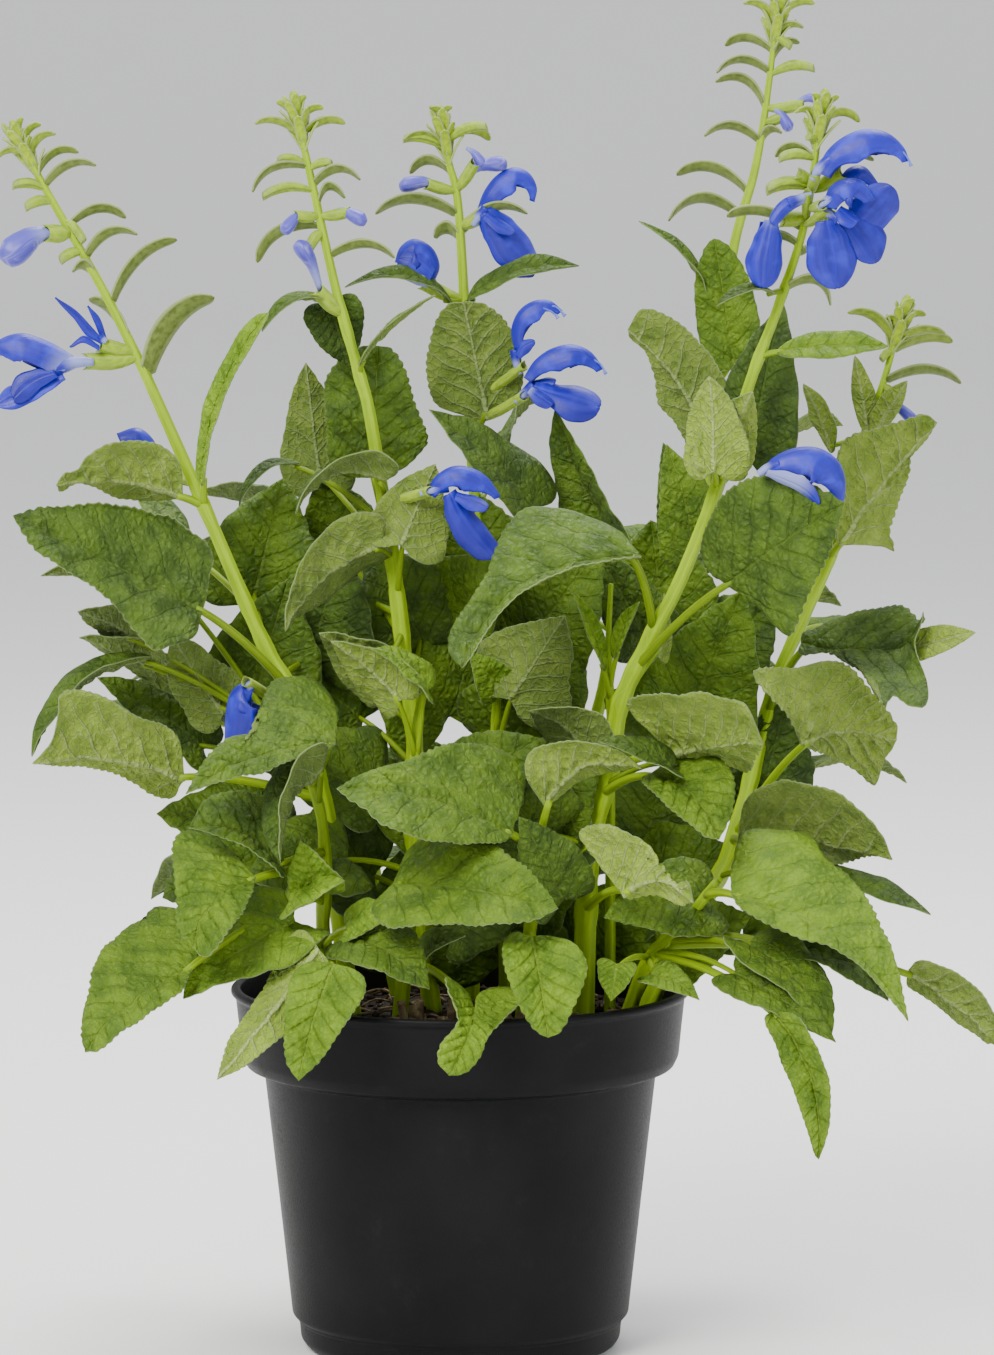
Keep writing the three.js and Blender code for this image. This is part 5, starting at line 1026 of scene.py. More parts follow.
def bract_skin():
    f = Finish("bract", Sheen_Weight=0.12, Sheen_Roughness=0.45, Specular_IOR_Level=0.3)
    x, y, length = f.marks("spot")
    s, _, tone = f.marks("blade")
    edge = f.calc("ABSOLUTE", s)
    spot = f.join(x, y, length)
    patches = f.noise(spot, 0.5, 3.0)
    dark = f.blend(tone, (0.052, 0.078, 0.013, 1), (0.19, 0.3, 0.001, 1))
    light = f.blend(tone, (0.115, 0.155, 0.04, 1), (0.34, 0.47, 0.004, 1))
    colour = f.blend(f.between(patches, 0.3, 0.7), dark, light)
    colour = f.blend(f.between(edge, 0.05, 0.3, 0.45, 0.0), colour, light)
    colour = f.blend(f.between(edge, 0.55, 0.95, 0.0, 0.75), colour, (0.25, 0.3, 0.12, 1))
    grain = f.noise(spot, 2.4, 2.0)
    f.relief(grain, 0.25, 0.0003)
    return f.done(colour, grain, 0.3, 0.7, 0.6, 0.8)


def calyx_skin():
    f = Finish("calyx", Sheen_Weight=0.12, Sheen_Roughness=0.45, Specular_IOR_Level=0.35)
    turn, t, _ = f.marks("blade")
    around, up, length = f.marks("spot")
    ribs = f.between(f.calc("COSINE", f.calc("MULTIPLY", turn, 12 * math.pi)), -0.2, 0.9)
    spot = f.join(around, up, length)
    patches = f.noise(spot, 0.6, 2.0)
    colour = f.blend(f.between(patches, 0.3, 0.7), (0.15, 0.255, 0.0015, 1), (0.25, 0.37, 0.004, 1))
    colour = f.blend(f.calc("MULTIPLY", ribs, 0.4), colour, (0.308, 0.363, 0.066, 1))
    colour = f.blend(f.between(t, 0.6, 0.75, 0.0, 0.4), colour, (0.198, 0.242, 0.088, 1))
    f.relief(f.calc("MULTIPLY_ADD", ribs, 0.8, f.noise(spot, 3.0, 2.0)), 0.3, 0.0003)
    return f.done(colour, patches, 0.3, 0.7, 0.55, 0.75)


def petal_skin(name, deep, vivid, pale):
    f = Finish(name, Sheen_Weight=0.1, Sheen_Roughness=0.35, Sheen_Tint=(0.6, 0.7, 1.0, 1),
               Specular_IOR_Level=0.35)
    s, v, tone = f.marks("blade")
    x, y, length = f.marks("spot")
    lines = f.noise(f.join(f.calc("MULTIPLY", s, 5.0), f.calc("MULTIPLY", v, 0.7), length), 1.0, 3.0, 0.5)
    clouds = f.noise(f.join(x, y, length), 0.16, 2.0)
    colour = f.blend(f.between(lines, 0.25, 0.7, 0.25, 0.9), deep, vivid)
    colour = f.blend(f.between(clouds, 0.45, 0.75, 0.0, 0.6), colour, pale)
    throat = f.between(f.calc("ADD", v, tone), 0.0, 0.4, 0.85, 0.0)
    colour = f.blend(throat, colour, (0.231, 0.264, 0.522, 1))
    depth = f.between(f.calc("ADD", tone, f.calc("MULTIPLY", v, 0.5)), 0.85, 1.45)
    colour = f.blend(f.calc("MULTIPLY", depth, 0.75), colour, deep)
    f.relief(f.calc("MULTIPLY_ADD", f.noise(f.join(x, y, length), 2.5, 2.0), 0.4, lines), 0.35, 0.0005)
    return f.done(colour, clouds, 0.3, 0.7, 0.38, 0.55)


def stamen_skin():
    f = Finish("stamen", Specular_IOR_Level=0.4)
    _, t, _ = f.marks("blade")
    around, up, length = f.marks("spot")
    grain = f.noise(f.join(around, up, length), 1.2, 2.0)
    colour = f.blend(t, (0.03, 0.05, 0.5, 1), (0.1, 0.14, 0.55, 1))
    colour = f.blend(f.between(grain, 0.4, 0.7, 0.0, 0.4), colour, (0.193, 0.231, 0.495, 1))
    return f.done(colour, grain, 0.3, 0.7, 0.4, 0.6)


def pot_plastic():
    f = Finish("satin black plastic", Specular_IOR_Level=0.07)
    spot = f.object_place()
    specks = f.noise(spot, 1400.0, 3.0, 0.6)
    flow = f.noise(spot, 26.0, 3.0)
    dust = f.between(f.noise(spot, 90.0, 5.0, 0.7), 0.56, 0.8, 0.0, 0.4)
    colour = f.blend(f.between(flow, 0.3, 0.7), (0.0055, 0.0056, 0.006, 1), (0.008, 0.0081, 0.0085, 1))
    colour = f.blend(dust, colour, (0.0209, 0.0204, 0.0193, 1))
    f.relief(f.calc("MULTIPLY_ADD", flow, 0.6, specks), 0.22, 0.0003)
    return f.done(colour, f.calc("ADD", specks, dust), 0.3, 0.9, 0.4, 0.56)


def earth(name, low, high, scale):
    f = Finish(name, Specular_IOR_Level=0.2)
    spot = f.object_place()
    lumps = f.noise(spot, scale, 6.0, 0.65)
    grains = f.node("ShaderNodeTexVoronoi", {"Vector": spot, "Scale": scale * 2.5}).outputs["Distance"]
    colour = f.blend(f.between(lumps, 0.35, 0.68), low, high)
    colour = f.blend(f.between(grains, 0.1, 0.5, 0.4, 0.0), colour, low)
    f.relief(f.calc("MULTIPLY_ADD", grains, 0.5, lumps), 0.9, 0.0015)
    return f.done(colour, lumps, 0.3, 0.7, 0.8, 0.98)


LEAF_UPPER, LEAF_UNDER, LEAF_EDGE = leaf_upper(), leaf_under(), leaf_edge()
STEM_SKIN, BRACT_SKIN, CALYX_SKIN = stem_skin(), bract_skin(), calyx_skin()
PETAL_OUTSIDE = petal_skin(
    "petal outside", (0.0036, 0.002, 0.16, 1), (0.007, 0.0075, 0.38, 1), (0.028, 0.038, 0.6, 1))
PETAL_INSIDE = petal_skin(
    "petal inside", (0.003, 0.001, 0.11, 1), (0.0055, 0.004, 0.27, 1), (0.018, 0.019, 0.44, 1))
BUD_SKIN = petal_skin("young bud", (0.035, 0.03, 0.32, 1), (0.1, 0.09, 0.48, 1), (0.32, 0.31, 0.58, 1))
STAMEN_SKIN = stamen_skin()
POT_PLASTIC = pot_plastic()
PEAT = earth("moist peat", (0.0066, 0.0044, 0.00275, 1), (0.0385, 0.0231, 0.0132, 1), 260.0)
STRAW = earth("dry stubs and fibres", (0.088, 0.055, 0.0275, 1), (0.253, 0.193, 0.11, 1), 180.0)

# ---- Leaves ----

# Outlines of the smaller leaves, as shares of their length and of half their width.
OUTLINES = {
    "arrow": [(-0.1, 0.4), (-0.09, 0.78), (0.05, 1.0), (0.25, 0.97), (0.48, 0.8), (0.7, 0.52), (0.88, 0.23)],
    "round": [(-0.03, 0.4), (0.05, 0.72), (0.24, 0.97), (0.46, 1.0), (0.7, 0.82), (0.88, 0.48), (0.97, 0.22)],
    "lance": [(0.0, 0.14), (0.12, 0.56), (0.3, 0.9), (0.5, 1.0), (0.7, 0.78), (0.88, 0.38), (0.97, 0.12)],
}


def frame_of(base, tip, facing):
    """Directions along a blade, off its upper side and across it."""
    forward = (tip - base).normalized()
    up = (facing - forward * facing.dot(forward)).normalized()
    return forward, up, forward.cross(up)


stem_ways = {name: smooth_way([Vector(p) for p in points]) for name, _, _, points in STEMS}


def stem_at(stem, height):
    """The place on a stem at a given height: stems rise all the way, so halving finds it."""
    low, high = 0.0, 1.0
    for _ in range(20):
        middle = (low + high) / 2
        if stem_ways[stem](middle)[0].z < height:
            low = middle
        else:
            high = middle
    return stem_ways[stem](low)[0]


def vein_dip(x, y, length, s):
    """How far the blade is drawn in along its midrib and side veins, from 0 to 1."""
    off = abs(x)
    spacing = VEIN_SPACING * length
    sway = VEIN_SWAY * math.sin(off * VEIN_SWAY_RATE + length)
    row = (y - VEIN_LEAN * off + sway) / spacing + (0.5 if x > 0 else 0)
    gap = abs(row % 1 - 0.5) * spacing * VEIN_SLANT
    side = math.exp(-(gap / 0.75) ** 2) * (1 - abs(s) ** 6)
    return max(math.exp(-(off / 0.9) ** 2), 0.8 * side)


def quilted(x, y, seed):
    """How far the blade swells between its small veins, from 0 to 1."""
    near = noise.voronoi(Vector((x * 0.3, y * 0.3, seed)))[0]
    return min(1.0, 2.2 * (near[1] - near[0]))


def edge_way(points, length):
    """The way along one edge of a blade, evenly: (along, away) in millimetres, base to tip."""
    way = smooth_way([Vector((x, y, 0)) for x, y in [(0, 0.0), *points, (length, 0.0)]])
    spots = [way(i / 60)[0] for i in range(61)]
    runs = [0.0]
    for one, other in zip(spots, spots[1:]):
        runs.append(runs[-1] + (other - one).length)

    def at(v):
        goal = v * runs[-1]
        i = min(range(60), key=lambda k: 0 if runs[k] <= goal <= runs[k + 1] else 1)
        w = (goal - runs[i]) / max(runs[i + 1] - runs[i], 1e-6)
        return spots[i].lerp(spots[i + 1], min(max(w, 0), 1))

    return at


LEAF_FINISHES = [LEAF_UPPER, LEAF_UNDER, LEAF_EDGE, STEM_SKIN]
ON_STALK = 3


def make_leaf(bm, stem, row, cuts, tone, shape, stalk, edges=None, finishes=(0, 1, 2)):
    """One leaf, with its stalk if that has a radius. shape holds what sets the leaf apart: how much its edge
    waves, the twist and sideways bow of the whole blade, one edge rolled over, a tip bent up, and a seed."""
    height, base, tip, width, facing, arch, fold = row[:7]
    start = stem_at(stem, height)
    base, tip = Vector(base), Vector(tip)
    forward, up, side = frame_of(base, tip, Vector(facing))
    length = (tip - base).length
    seed = shape.get("seed", 1.0)
    if not edges:
        form = row[7] if len(row) > 7 else ("lance" if width < NARROW_SHARE * length else "arrow")
        edges = [[(x * length, y * width / 2 * (1 + 0.22 * noise.noise(Vector((4 * x, seed, hand)))))
                  for x, y in OUTLINES[form]] for hand in (0, 5)]
    left, right = (edge_way(points, length) for points in edges)
    way = arched_way(base, (base + tip) / 2 + up * (2 * arch), tip)
    lift, reach = math.sin(math.radians(fold)), math.cos(math.radians(fold))
    wave, twist = shape.get("wave", 0.05), math.radians(shape.get("twist", 0))
    roll_side, roll_from, roll_turn = shape.get("roll", (1, 2.0, 0))
    tip_curl = math.radians(shape.get("tip_curl", 0))
    bow = shape.get("bow", 0)
    teeth = min(0.95, 0.02 * width)
    tooth_size = max(2.6, length / 24)

    def flat_place(s, v):
        edge = (right if s > 0 else left)(v)
        along = v * length + (edge.x - v * length) * abs(s) ** 1.5
        return s * edge.y, along, edge.y

    def place(s, v):
        spot, pull = way(v)
        above = side.cross(pull).normalized()
        across = side
        turn = twist * v
        if turn:
            across = side * math.cos(turn) + above * math.sin(turn)
            above = above * math.cos(turn) - side * math.sin(turn)
        if tip_curl and v > TIP_BEND_FROM:
            bend = tip_curl * ((v - TIP_BEND_FROM) / (1 - TIP_BEND_FROM)) ** 1.5
            beyond = (v - TIP_BEND_FROM) * length
            spot = spot - pull * (beyond * 0.25 * bend) + above * (beyond * 0.6 * bend)
            above = (above * math.cos(bend) - pull * math.sin(bend)).normalized()
        x, y, half = flat_place(s, v)
        tooth = abs(math.sin(math.pi * y / tooth_size)) * teeth * abs(s) ** 8 * min(1, half / 4)
        sway = wave * half * s * s * math.sin(6.3 * (1.6 * v + seed) + (1.3 if s > 0 else 0))
        soft = min(1, half / 6)
        bumps = 1.3 * noise.noise(Vector((x * 0.12, y * 0.12, seed * 7)))
        bumps += 0.9 * quilted(x, y, seed) * (1 - abs(s) ** 4)
        dip = -0.9 * vein_dip(x, y, length, s)
        rise = abs(s) * half * lift - EDGE_CURL * half * abs(s) ** 3 + sway + (bumps + dip) * soft
        out = x * reach + math.copysign(tooth, s) + bow * 4 * v * (1 - v)
        if s * roll_side > roll_from:
            over = (s * roll_side - roll_from) * half
            radius = max(0.8, (1 - roll_from) * half / math.radians(roll_turn))
            angle = over / radius
            out -= roll_side * (over - radius * math.sin(angle))
            rise += radius * (1 - math.cos(angle))
        return spot + across * out + above * rise + pull * (y - v * length + tooth * 0.5)

    def thickness(s, v):
        rib = 0.5 * math.exp(-(flat_place(s, v)[0] / 0.8) ** 2) * (1 - v)
        return LEAF_THICKNESS * (1 - 0.35 * abs(s)) + rib

    sheet(bm, place, *cuts, thickness, finishes, tone, lambda s, v: (*flat_place(s, v)[:2], length))
    if not stalk:
        return
    inside = base + forward * 2.5 + side * (bow * 10 / length) - up * 0.3
    bend = start.lerp(base, 0.6)
    bend.z += 0.1 * (base - start).length
    run = (inside - start).length
    # The stalk is darker with the leaf's tone, so it carries the same painted shade.
    rod(bm, arched_way(start, bend, inside), run, lambda t: stalk * (1.2 - 0.35 * t), 8,
        max(4, int(run / 4)), ON_STALK, tone=0.1 + 0.6 * tone)


# What sets each large leaf apart: tone from 0, dark, to 1, fresh, which paints how lit or shaded each leaf is
# as well as its own green, and its shape.
LEAF_SHAPES = {
    "leaf_left_big": (0.12, {"roll": (1, 0.88, 110)}),
    "leaf_left_pale": (0.6, {"bow": -3}),
    "leaf_left_upright": (0.85, {"bow": -2}),
    "leaf_left_low_pale": (0.7, {"wave": 0.08, "bow": -4}),
    "leaf_left_front": (0.3, {"wave": 0.06, "bow": 3}),
    "leaf_left_dark": (0.18, {"bow": 4}),
    "leaf_left_side": (0.5, {"wave": 0.07, "bow": 4}),
    "leaf_left_bottom": (0.45, {"bow": 4}),
    "leaf_left_rim": (0.95, {"wave": 0.06, "bow": -1}),
    "leaf_rim_left": (0.62, {}),
    "leaf_centre_big": (0.36, {"bow": 3}),
    "leaf_centre_low": (0.42, {}),
    "leaf_rim_centre": (0.62, {"wave": 0.04}),
    "leaf_rim_twisted": (0.7, {"wave": 0.1}),
    "leaf_centre_pale": (1.0, {"wave": 0.12, "bow": 6}),
    "leaf_centre_right_pale": (0.7, {"wave": 0.06, "bow": 6}),
    "leaf_arch_big": (0.2, {"roll": (-1, 0.7, 130), "wave": 0.03, "bow": 14}),
    "leaf_centre_round": (0.2, {}),
    "leaf_behind_left": (0.2, {}),
    "leaf_right_broad": (0.14, {}),
    "leaf_far_right_pale": (0.66, {"wave": 0.07}),
    "leaf_right_veined": (0.22, {"bow": -4}),
    "leaf_right_heart": (0.68, {"wave": 0.06, "bow": 2}),
    "leaf_right_curled": (0.12, {"tip_curl": 80, "wave": 0.06, "bow": 7}),
    "leaf_right_lit": (0.62, {"bow": -9}),
    "leaf_right_low_pale": (0.42, {"bow": 4}),
    "leaf_right_end": (0.4, {"bow": 2}),
    "leaf_right_hanging": (0.5, {"bow": -7}),
    "leaf_mid_right": (0.8, {"wave": 0.08}),
    "leaf_mid_right_low": (0.45, {"bow": -3}),
}

# The end of one leaf that turns up and shows its pale underside: the same columns as the small leaves.
TURNED_UP_TIP = [206, [137, -8, 227], [166, -22, 237], 11.5, [0.1, -0.85, 0.45], 2, 14, "lance"]

for index, (name, stem, *row) in enumerate(LARGE_LEAVES):
    tone, shape = LEAF_SHAPES[name]
    bm = new_piece()
    make_leaf(bm, stem, row, LARGE_CUTS, tone, {"seed": 1.7 * index, **shape}, LARGE_STALK, LEAF_EDGES[name])
    if name == "leaf_right_curled":
        make_leaf(bm, stem, TURNED_UP_TIP, TIP_CUTS, 1.0, {"seed": 4.0, "wave": 0.08}, 0,
                  finishes=(1, 0, 2))
    finish_piece(name + "_blade", bm, [name], LEAF_FINISHES)

# Fresher small leaves: stem, height and tone.
YOUNG_LEAVES = {
    ("stem_back_right", 312): 0.42, ("stem_front_right", 214): 0.8, ("stem_front_right", 284): 0.95,
    ("stem_front_right", 286): 0.85, ("stem_front_right", 326): 0.6, ("stem_far_right", 294): 0.8,
    ("stem_far_right", 295): 0.7, ("stem_far_right", 297): 0.6, ("shoot_front_left", 131): 0.6,
    ("shoot_front_left", 135): 0.85, ("shoot_front_left", 151): 0.8, ("shoot_front_left", 161): 0.7,
    ("shoot_mid_left", 195): 0.7, ("shoot_centre", 200): 0.6, ("shoot_front_right", 131): 0.6,
    ("shoot_front_right", 132): 0.7, ("shoot_young", 213): 0.8, ("shoot_young", 216): 0.9,
}

draw = random.Random(LEAF_DRAW)
for stem, rows in SMALL_LEAVES.items():
    bm = new_piece()
    for row in rows + FILLING_LEAVES.get(stem, []):
        shape = {"seed": draw.uniform(0, 50), "wave": draw.uniform(0.03, 0.1), "twist": draw.uniform(-12, 12)}
        cuts = SMALL_CUTS if row[3] > NARROW_WIDTH else NARROW_CUTS
        # A low tone, from 0 to 0.42, makes most small and filling leaves dark: painted shade inside the
        # clump. The young leaves listed above are fresher.
        tone = max(draw.uniform(0.0, 0.42), YOUNG_LEAVES.get((stem, row[0]), 0))
        make_leaf(bm, stem, row, cuts, tone, shape, SMALL_STALK)
    finish_piece(stem + "_leaves", bm, [stem], LEAF_FINISHES)

# ---- Stems ----


def make_stem(name, bottom, top, points):
    """A four-ridged stem, thicker at each joint where leaves leave it."""
    way = stem_ways[name]
    length = sum((Vector(a) - Vector(b)).length for a, b in zip(points, points[1:]))
    joints = {row[0] for row in SMALL_LEAVES[name]} | {row[2] for row in LARGE_LEAVES if row[1] == name}

    def radius_at(t):
        here = way(t)[0].z
        swell = sum(math.exp(-((here - joint) / 3.5) ** 2) for joint in sorted(joints))
        return (bottom + (top - bottom) * t) * (1.08 + 0.2 * min(1, swell))

    bm = new_piece()
    tone = 0.5 if name.startswith("shoot") else 0.85
    rod(bm, way, length, radius_at, 24, max(24, int(length / 3)), 0, tone=tone, ridge=0.1)
    finish_piece(name + "_stalk", bm, [name], [STEM_SKIN])


for row in STEMS:
    make_stem(*row)

# ---- Bracts, calyces and young buds ----


def make_bract(bm, start, tip, width, arch, tone, bow=None):
    """A bract: a narrow horn-shaped leaf. bow is the way its back looks, if not turned to the front."""
    forward, up, side = frame_of(start, tip, bow or Vector((0.4 if start.x > tip.x else -0.4, 0, 1)))
    if not bow:
        side = Quaternion(forward, math.radians(BRACT_TURN) * math.copysign(1, side.y)) @ side
    way = arched_way(start, start.lerp(tip, 0.6) + up * (1.75 * arch), tip)
    length = (tip - start).length

    def half_at(v):
        end = 1 - max(0, v - 0.86) / 0.14
        return width / 2 * through(BRACT_HALVES, v) * math.sqrt(max(0.08, end * (2 - end)))

    def place(s, v):
        spot, pull = way(v)
        above = side.cross(pull).normalized()
        half = half_at(v)
        return spot + side * (s * half) + above * (0.4 * half * s * s - 0.3 * half * abs(s) ** 5)

    sheet(bm, place, 6, 18, BRACT_THICKNESS, (0, 0, 0), tone,
          lambda s, v: (s * half_at(v), v * length, length), (True, False))


# A calyx, open or still closed round its bud: how far each ring lies towards the mouth, how wide it is,
# how far the whole sags, and how far its lips stand out.
OPEN_CALYX = ([0, 0.12, 0.35, 0.6, 0.85, 1.0, 1.1, 1.06, 0.9, 0.6],
              [0.4, 0.62, 0.88, 1.02, 1.02, 0.96, 0.95, 0.82, 0.6, 0.25], 0.04, 0.7)
CLOSED_CALYX = ([0, 0.1, 0.22, 0.36, 0.5, 0.64, 0.78, 0.9, 0.98, 0.94],
                [0.45, 0.62, 0.82, 0.95, 1.0, 0.98, 0.94, 0.9, 0.78, 0.4], -0.14, 0.35)


def make_calyx(bm, start, mouth, radius, finish=1, form=OPEN_CALYX):
    """A ribbed cup with a pointed upper and lower lip."""
    blade = bm.verts.layers.float_vector["blade"]
    pull = (mouth - start).normalized()
    length = (mouth - start).length
    depths, widths, sag, lips = form
    fall = Vector((0, 0, sag * length))

    def at(t):
        depth = through(depths, t)
        return start.lerp(mouth, depth) - fall * math.sin(math.pi * min(1, depth)), pull

    faces = rod(bm, at, length, lambda t: radius * through(widths, t), 16, 18, finish, tone=0.6, ridge=0.03,
                first_side=Vector((0, 0, 1)))
    for v in {v for f in faces for v in f.verts}:
        lip = max(0, 1 - abs(v[blade].y - 0.68) / 0.2)
        v.co += pull * (lips * radius * lip * math.cos(v[blade].x * 2 * math.pi) ** 4)


def make_bud(bm, base, tip, radius, finish):
    """A closed bud, bent a little upwards."""
    middle = (base + tip) / 2 + Vector((0, 0, 0.12 * (tip - base).length))
    length = (tip - base).length + 2
    end = tip + (tip - base).normalized() * (0.9 * radius)
    rod(bm, smooth_way([base, middle, tip, end]), length, lambda t: radius * through(BUD_RADII, t), 14, 16,
        finish, tone=BUD_TONE, flat=0.85)


for stem, rows in BRACTS.items():
    bm = new_piece()
    top = max(row[0] for row in rows)
    for order, (height, across, up, width, arch) in enumerate(rows):
        start = stem_at(stem, height)
        lean = (1 if order % 2 else -1) * 0.25 * abs(across - start.x)
        tone = max(0.15, min(1, 1 - (top - height) / 16))
        make_bract(bm, start, Vector((across, start.y + lean, up)), width, arch, tone)
    crown, pull = stem_ways[stem](1)
    for i in range(CROWN_BRACTS):
        angle = 2.4 * i
        left_over = (CROWN_BRACTS - i) / CROWN_BRACTS
        out = Vector((math.cos(angle), math.sin(angle), 0))
        foot = crown - pull * (9 * left_over + 9.5)
        top_end = foot + out * (2.2 + 4.6 * left_over) + pull * (12.5 - 2 * left_over)
        make_bract(bm, foot, top_end, 3.5, -0.8, 1.0, out)
    for height, across, up, radius in CALYCES[stem]:
        start = stem_at(stem, height)
        mouth = Vector((across, start.y - 2, up))
        filled = any(owner == stem and (Vector(base) - mouth).length < BUD_REACH
                     for owner, base, _, _ in BUDS)
        filled = filled or any((Vector(root) - mouth).length < TUBE_REACH for root in FLOWERS.values())
        make_calyx(bm, start, mouth, radius * (1.1 if filled else 1.0),
                   form=OPEN_CALYX if filled else CLOSED_CALYX)
    for owner, base, tip, radius in BUDS:
        if owner == stem:
            make_bud(bm, Vector(base), Vector(tip), radius, 2)
    finish_piece(stem + "_spike", bm, [stem], [BRACT_SKIN, CALYX_SKIN, BUD_SKIN])

# ---- Flowers ----

# Where a flower's own calyx leaves its stem, for those whose calyx isn't in the list of calyces.
FLOWER_CALYCES = {
    "flower_left_behind": ("stem_left", 284),
    "flower_centre_upper": ("stem_centre", 308),
    "flower_centre_right": ("stem_centre", 301),
    "flower_low": ("stem_mid_left", 278),
    "flower_hanging_bud": ("stem_left", 213),
    "flower_right_top": ("stem_front_right", 378),
    "flower_right_mid": ("stem_front_right", 374),
    "flower_right_low": ("stem_front_right", 368),
    "flower_right_cup": ("stem_front_right", 370),
}


def make_petal(bm, root, kind, spine, sizes, facing, wrap, tone, seed):
    """A hood, sized by how deep it is seen from the side, or a lip, sized by half its width."""
    points = [root + Vector(p) for p in spine]
    way = smooth_way(points)
    forward, up, side = frame_of(points[0], points[-1] if kind == "lip" else points[1], Vector(facing))
    length = sum((a - b).length for a, b in zip(points, points[1:]))
    hood = kind == "hood"
    bend = math.radians(wrap)

    def half_at(v):
        size = through(sizes, v)
        if hood:
            return size / HOOD_DEPTH
        end = 1 - max(0, v - 0.82) / 0.18
        return size * math.sqrt(max(0.02, end * (2 - end)))

    def place(s, v):
        spot, pull = way(v)
        above = side.cross(pull).normalized()
        half = half_at(v)
        radius = half / bend
        angle = s * bend
        out = radius * math.sin(angle) * (0.5 if hood else 1)
        drop = radius * (1 - math.cos(angle))
        ruffle = 0.06 * half * s * s * math.sin(9 * v + seed + 2 * s)
        crease = 0.25 * math.exp(-(s / 0.09) ** 2) * (1 if hood else -1)
        notch = 0 if hood else 0.16 * half * math.exp(-(s / 0.3) ** 2) * max(0, v - 0.8) / 0.2
        spread = 0.35 * half * s * s * max(0, v - 0.75) / 0.25 * (0.4 if hood else -0.5)
        return spot + side * out - above * (drop - ruffle - crease) - pull * (notch + spread)

    sheet(bm, place, 22, 32, PETAL_THICKNESS, (0, 1, 0), tone,
          lambda s, v: (s * half_at(v), v * length, length + seed), (False, False))


FLOWER_FINISHES = [PETAL_OUTSIDE, PETAL_INSIDE, STAMEN_SKIN, CALYX_SKIN]
ON_STAMEN, ON_CALYX = 2, 3

for index, (name, root) in enumerate(FLOWERS.items()):
    root = Vector(root)
    bm = new_piece()
    for order, petal in enumerate(PETALS[name]):
        make_petal(bm, root, *petal, seed=1.3 * order + 2.1 * index)
    spine, radii = TUBES[name]
    tube = [root + Vector(p) for p in spine]
    reach = sum((a - b).length for a, b in zip(tube, tube[1:]))
    rod(bm, smooth_way(tube), reach, lambda t: through(radii, t), 18, 12, 0, tone=-0.35, flat=0.8)
    for spine in STAMENS.get(name, []):
        points = [root + Vector(p) for p in spine]
        reach = sum((a - b).length for a, b in zip(points, points[1:]))
        rod(bm, smooth_way(points), reach, lambda t: 0.35 + 0.35 * math.exp(-((t - 1) / 0.12) ** 2),
            8, 12, ON_STAMEN)
    if name in FLOWER_CALYCES:
        start = stem_at(*FLOWER_CALYCES[name])
        make_calyx(bm, start, tube[0].lerp(tube[1], 0.4), radii[0] * 1.35, ON_CALYX)
    finish_piece(name + "_petals", bm, [name], FLOWER_FINISHES)

# ---- Pot ----


def spun(profile, steps):
    """A body of revolution round the upright axis."""
    bm = bmesh.new()
    verts = [bm.verts.new((x, 0, z)) for x, z in profile]
    edges = [bm.edges.new(pair) for pair in zip(verts, verts[1:])]
    bmesh.ops.spin(bm, geom=verts + edges, cent=(0, 0, 0), axis=(0, 0, 1), dvec=(0, 0, 0),
                   angle=2 * math.pi, steps=steps, use_merge=True)
    bmesh.ops.remove_doubles(bm, verts=bm.verts, dist=0.001)
    bmesh.ops.recalc_face_normals(bm, faces=bm.faces)
    for f in bm.faces:
        f.smooth = True
    return bm


def turned(name, profile, steps, nodes, finish, shape):
    """A closed piece whose profile starts and ends on the axis, then shaped further by the function given."""
    bm = spun(profile, steps)
    shape(bm)
    finish_piece(name, bm, nodes, [finish])


def rounded(profile, size):
    """The same profile with each inner corner rounded off."""
    points = [Vector((x, 0, z)) for x, z in profile]
    made = [points[0]]
    for before, corner, after in zip(points, points[1:], points[2:]):
        near = min(size, (before - corner).length / 2.2)
        far = min(size, (after - corner).length / 2.2)
        first = corner + (before - corner).normalized() * near
        last = corner + (after - corner).normalized() * far
        made += [arched_way(first, corner, last)(i / 3)[0] for i in range(4)]
    made.append(points[-1])
    return [(p.x, p.z) for p in made]


def cut_notches(bm):
    """Lifts the base's edge into a shallow arch at each notch."""
    for v in bm.verts:
        around = math.hypot(v.co.x, v.co.y)
        if around < BASE_RADIUS - 8 or v.co.z > 4:
            continue
        angle = math.atan2(v.co.y, v.co.x)
        quarter = math.pi * 2 / NOTCHES
        away = abs((angle + quarter / 2) % quarter - quarter / 2) * around
        if away < NOTCH_HALF_WIDTH:
            arch = NOTCH_HEIGHT * min(1, (NOTCH_HALF_WIDTH - away) / 1.5)
            v.co.z = max(v.co.z, arch)


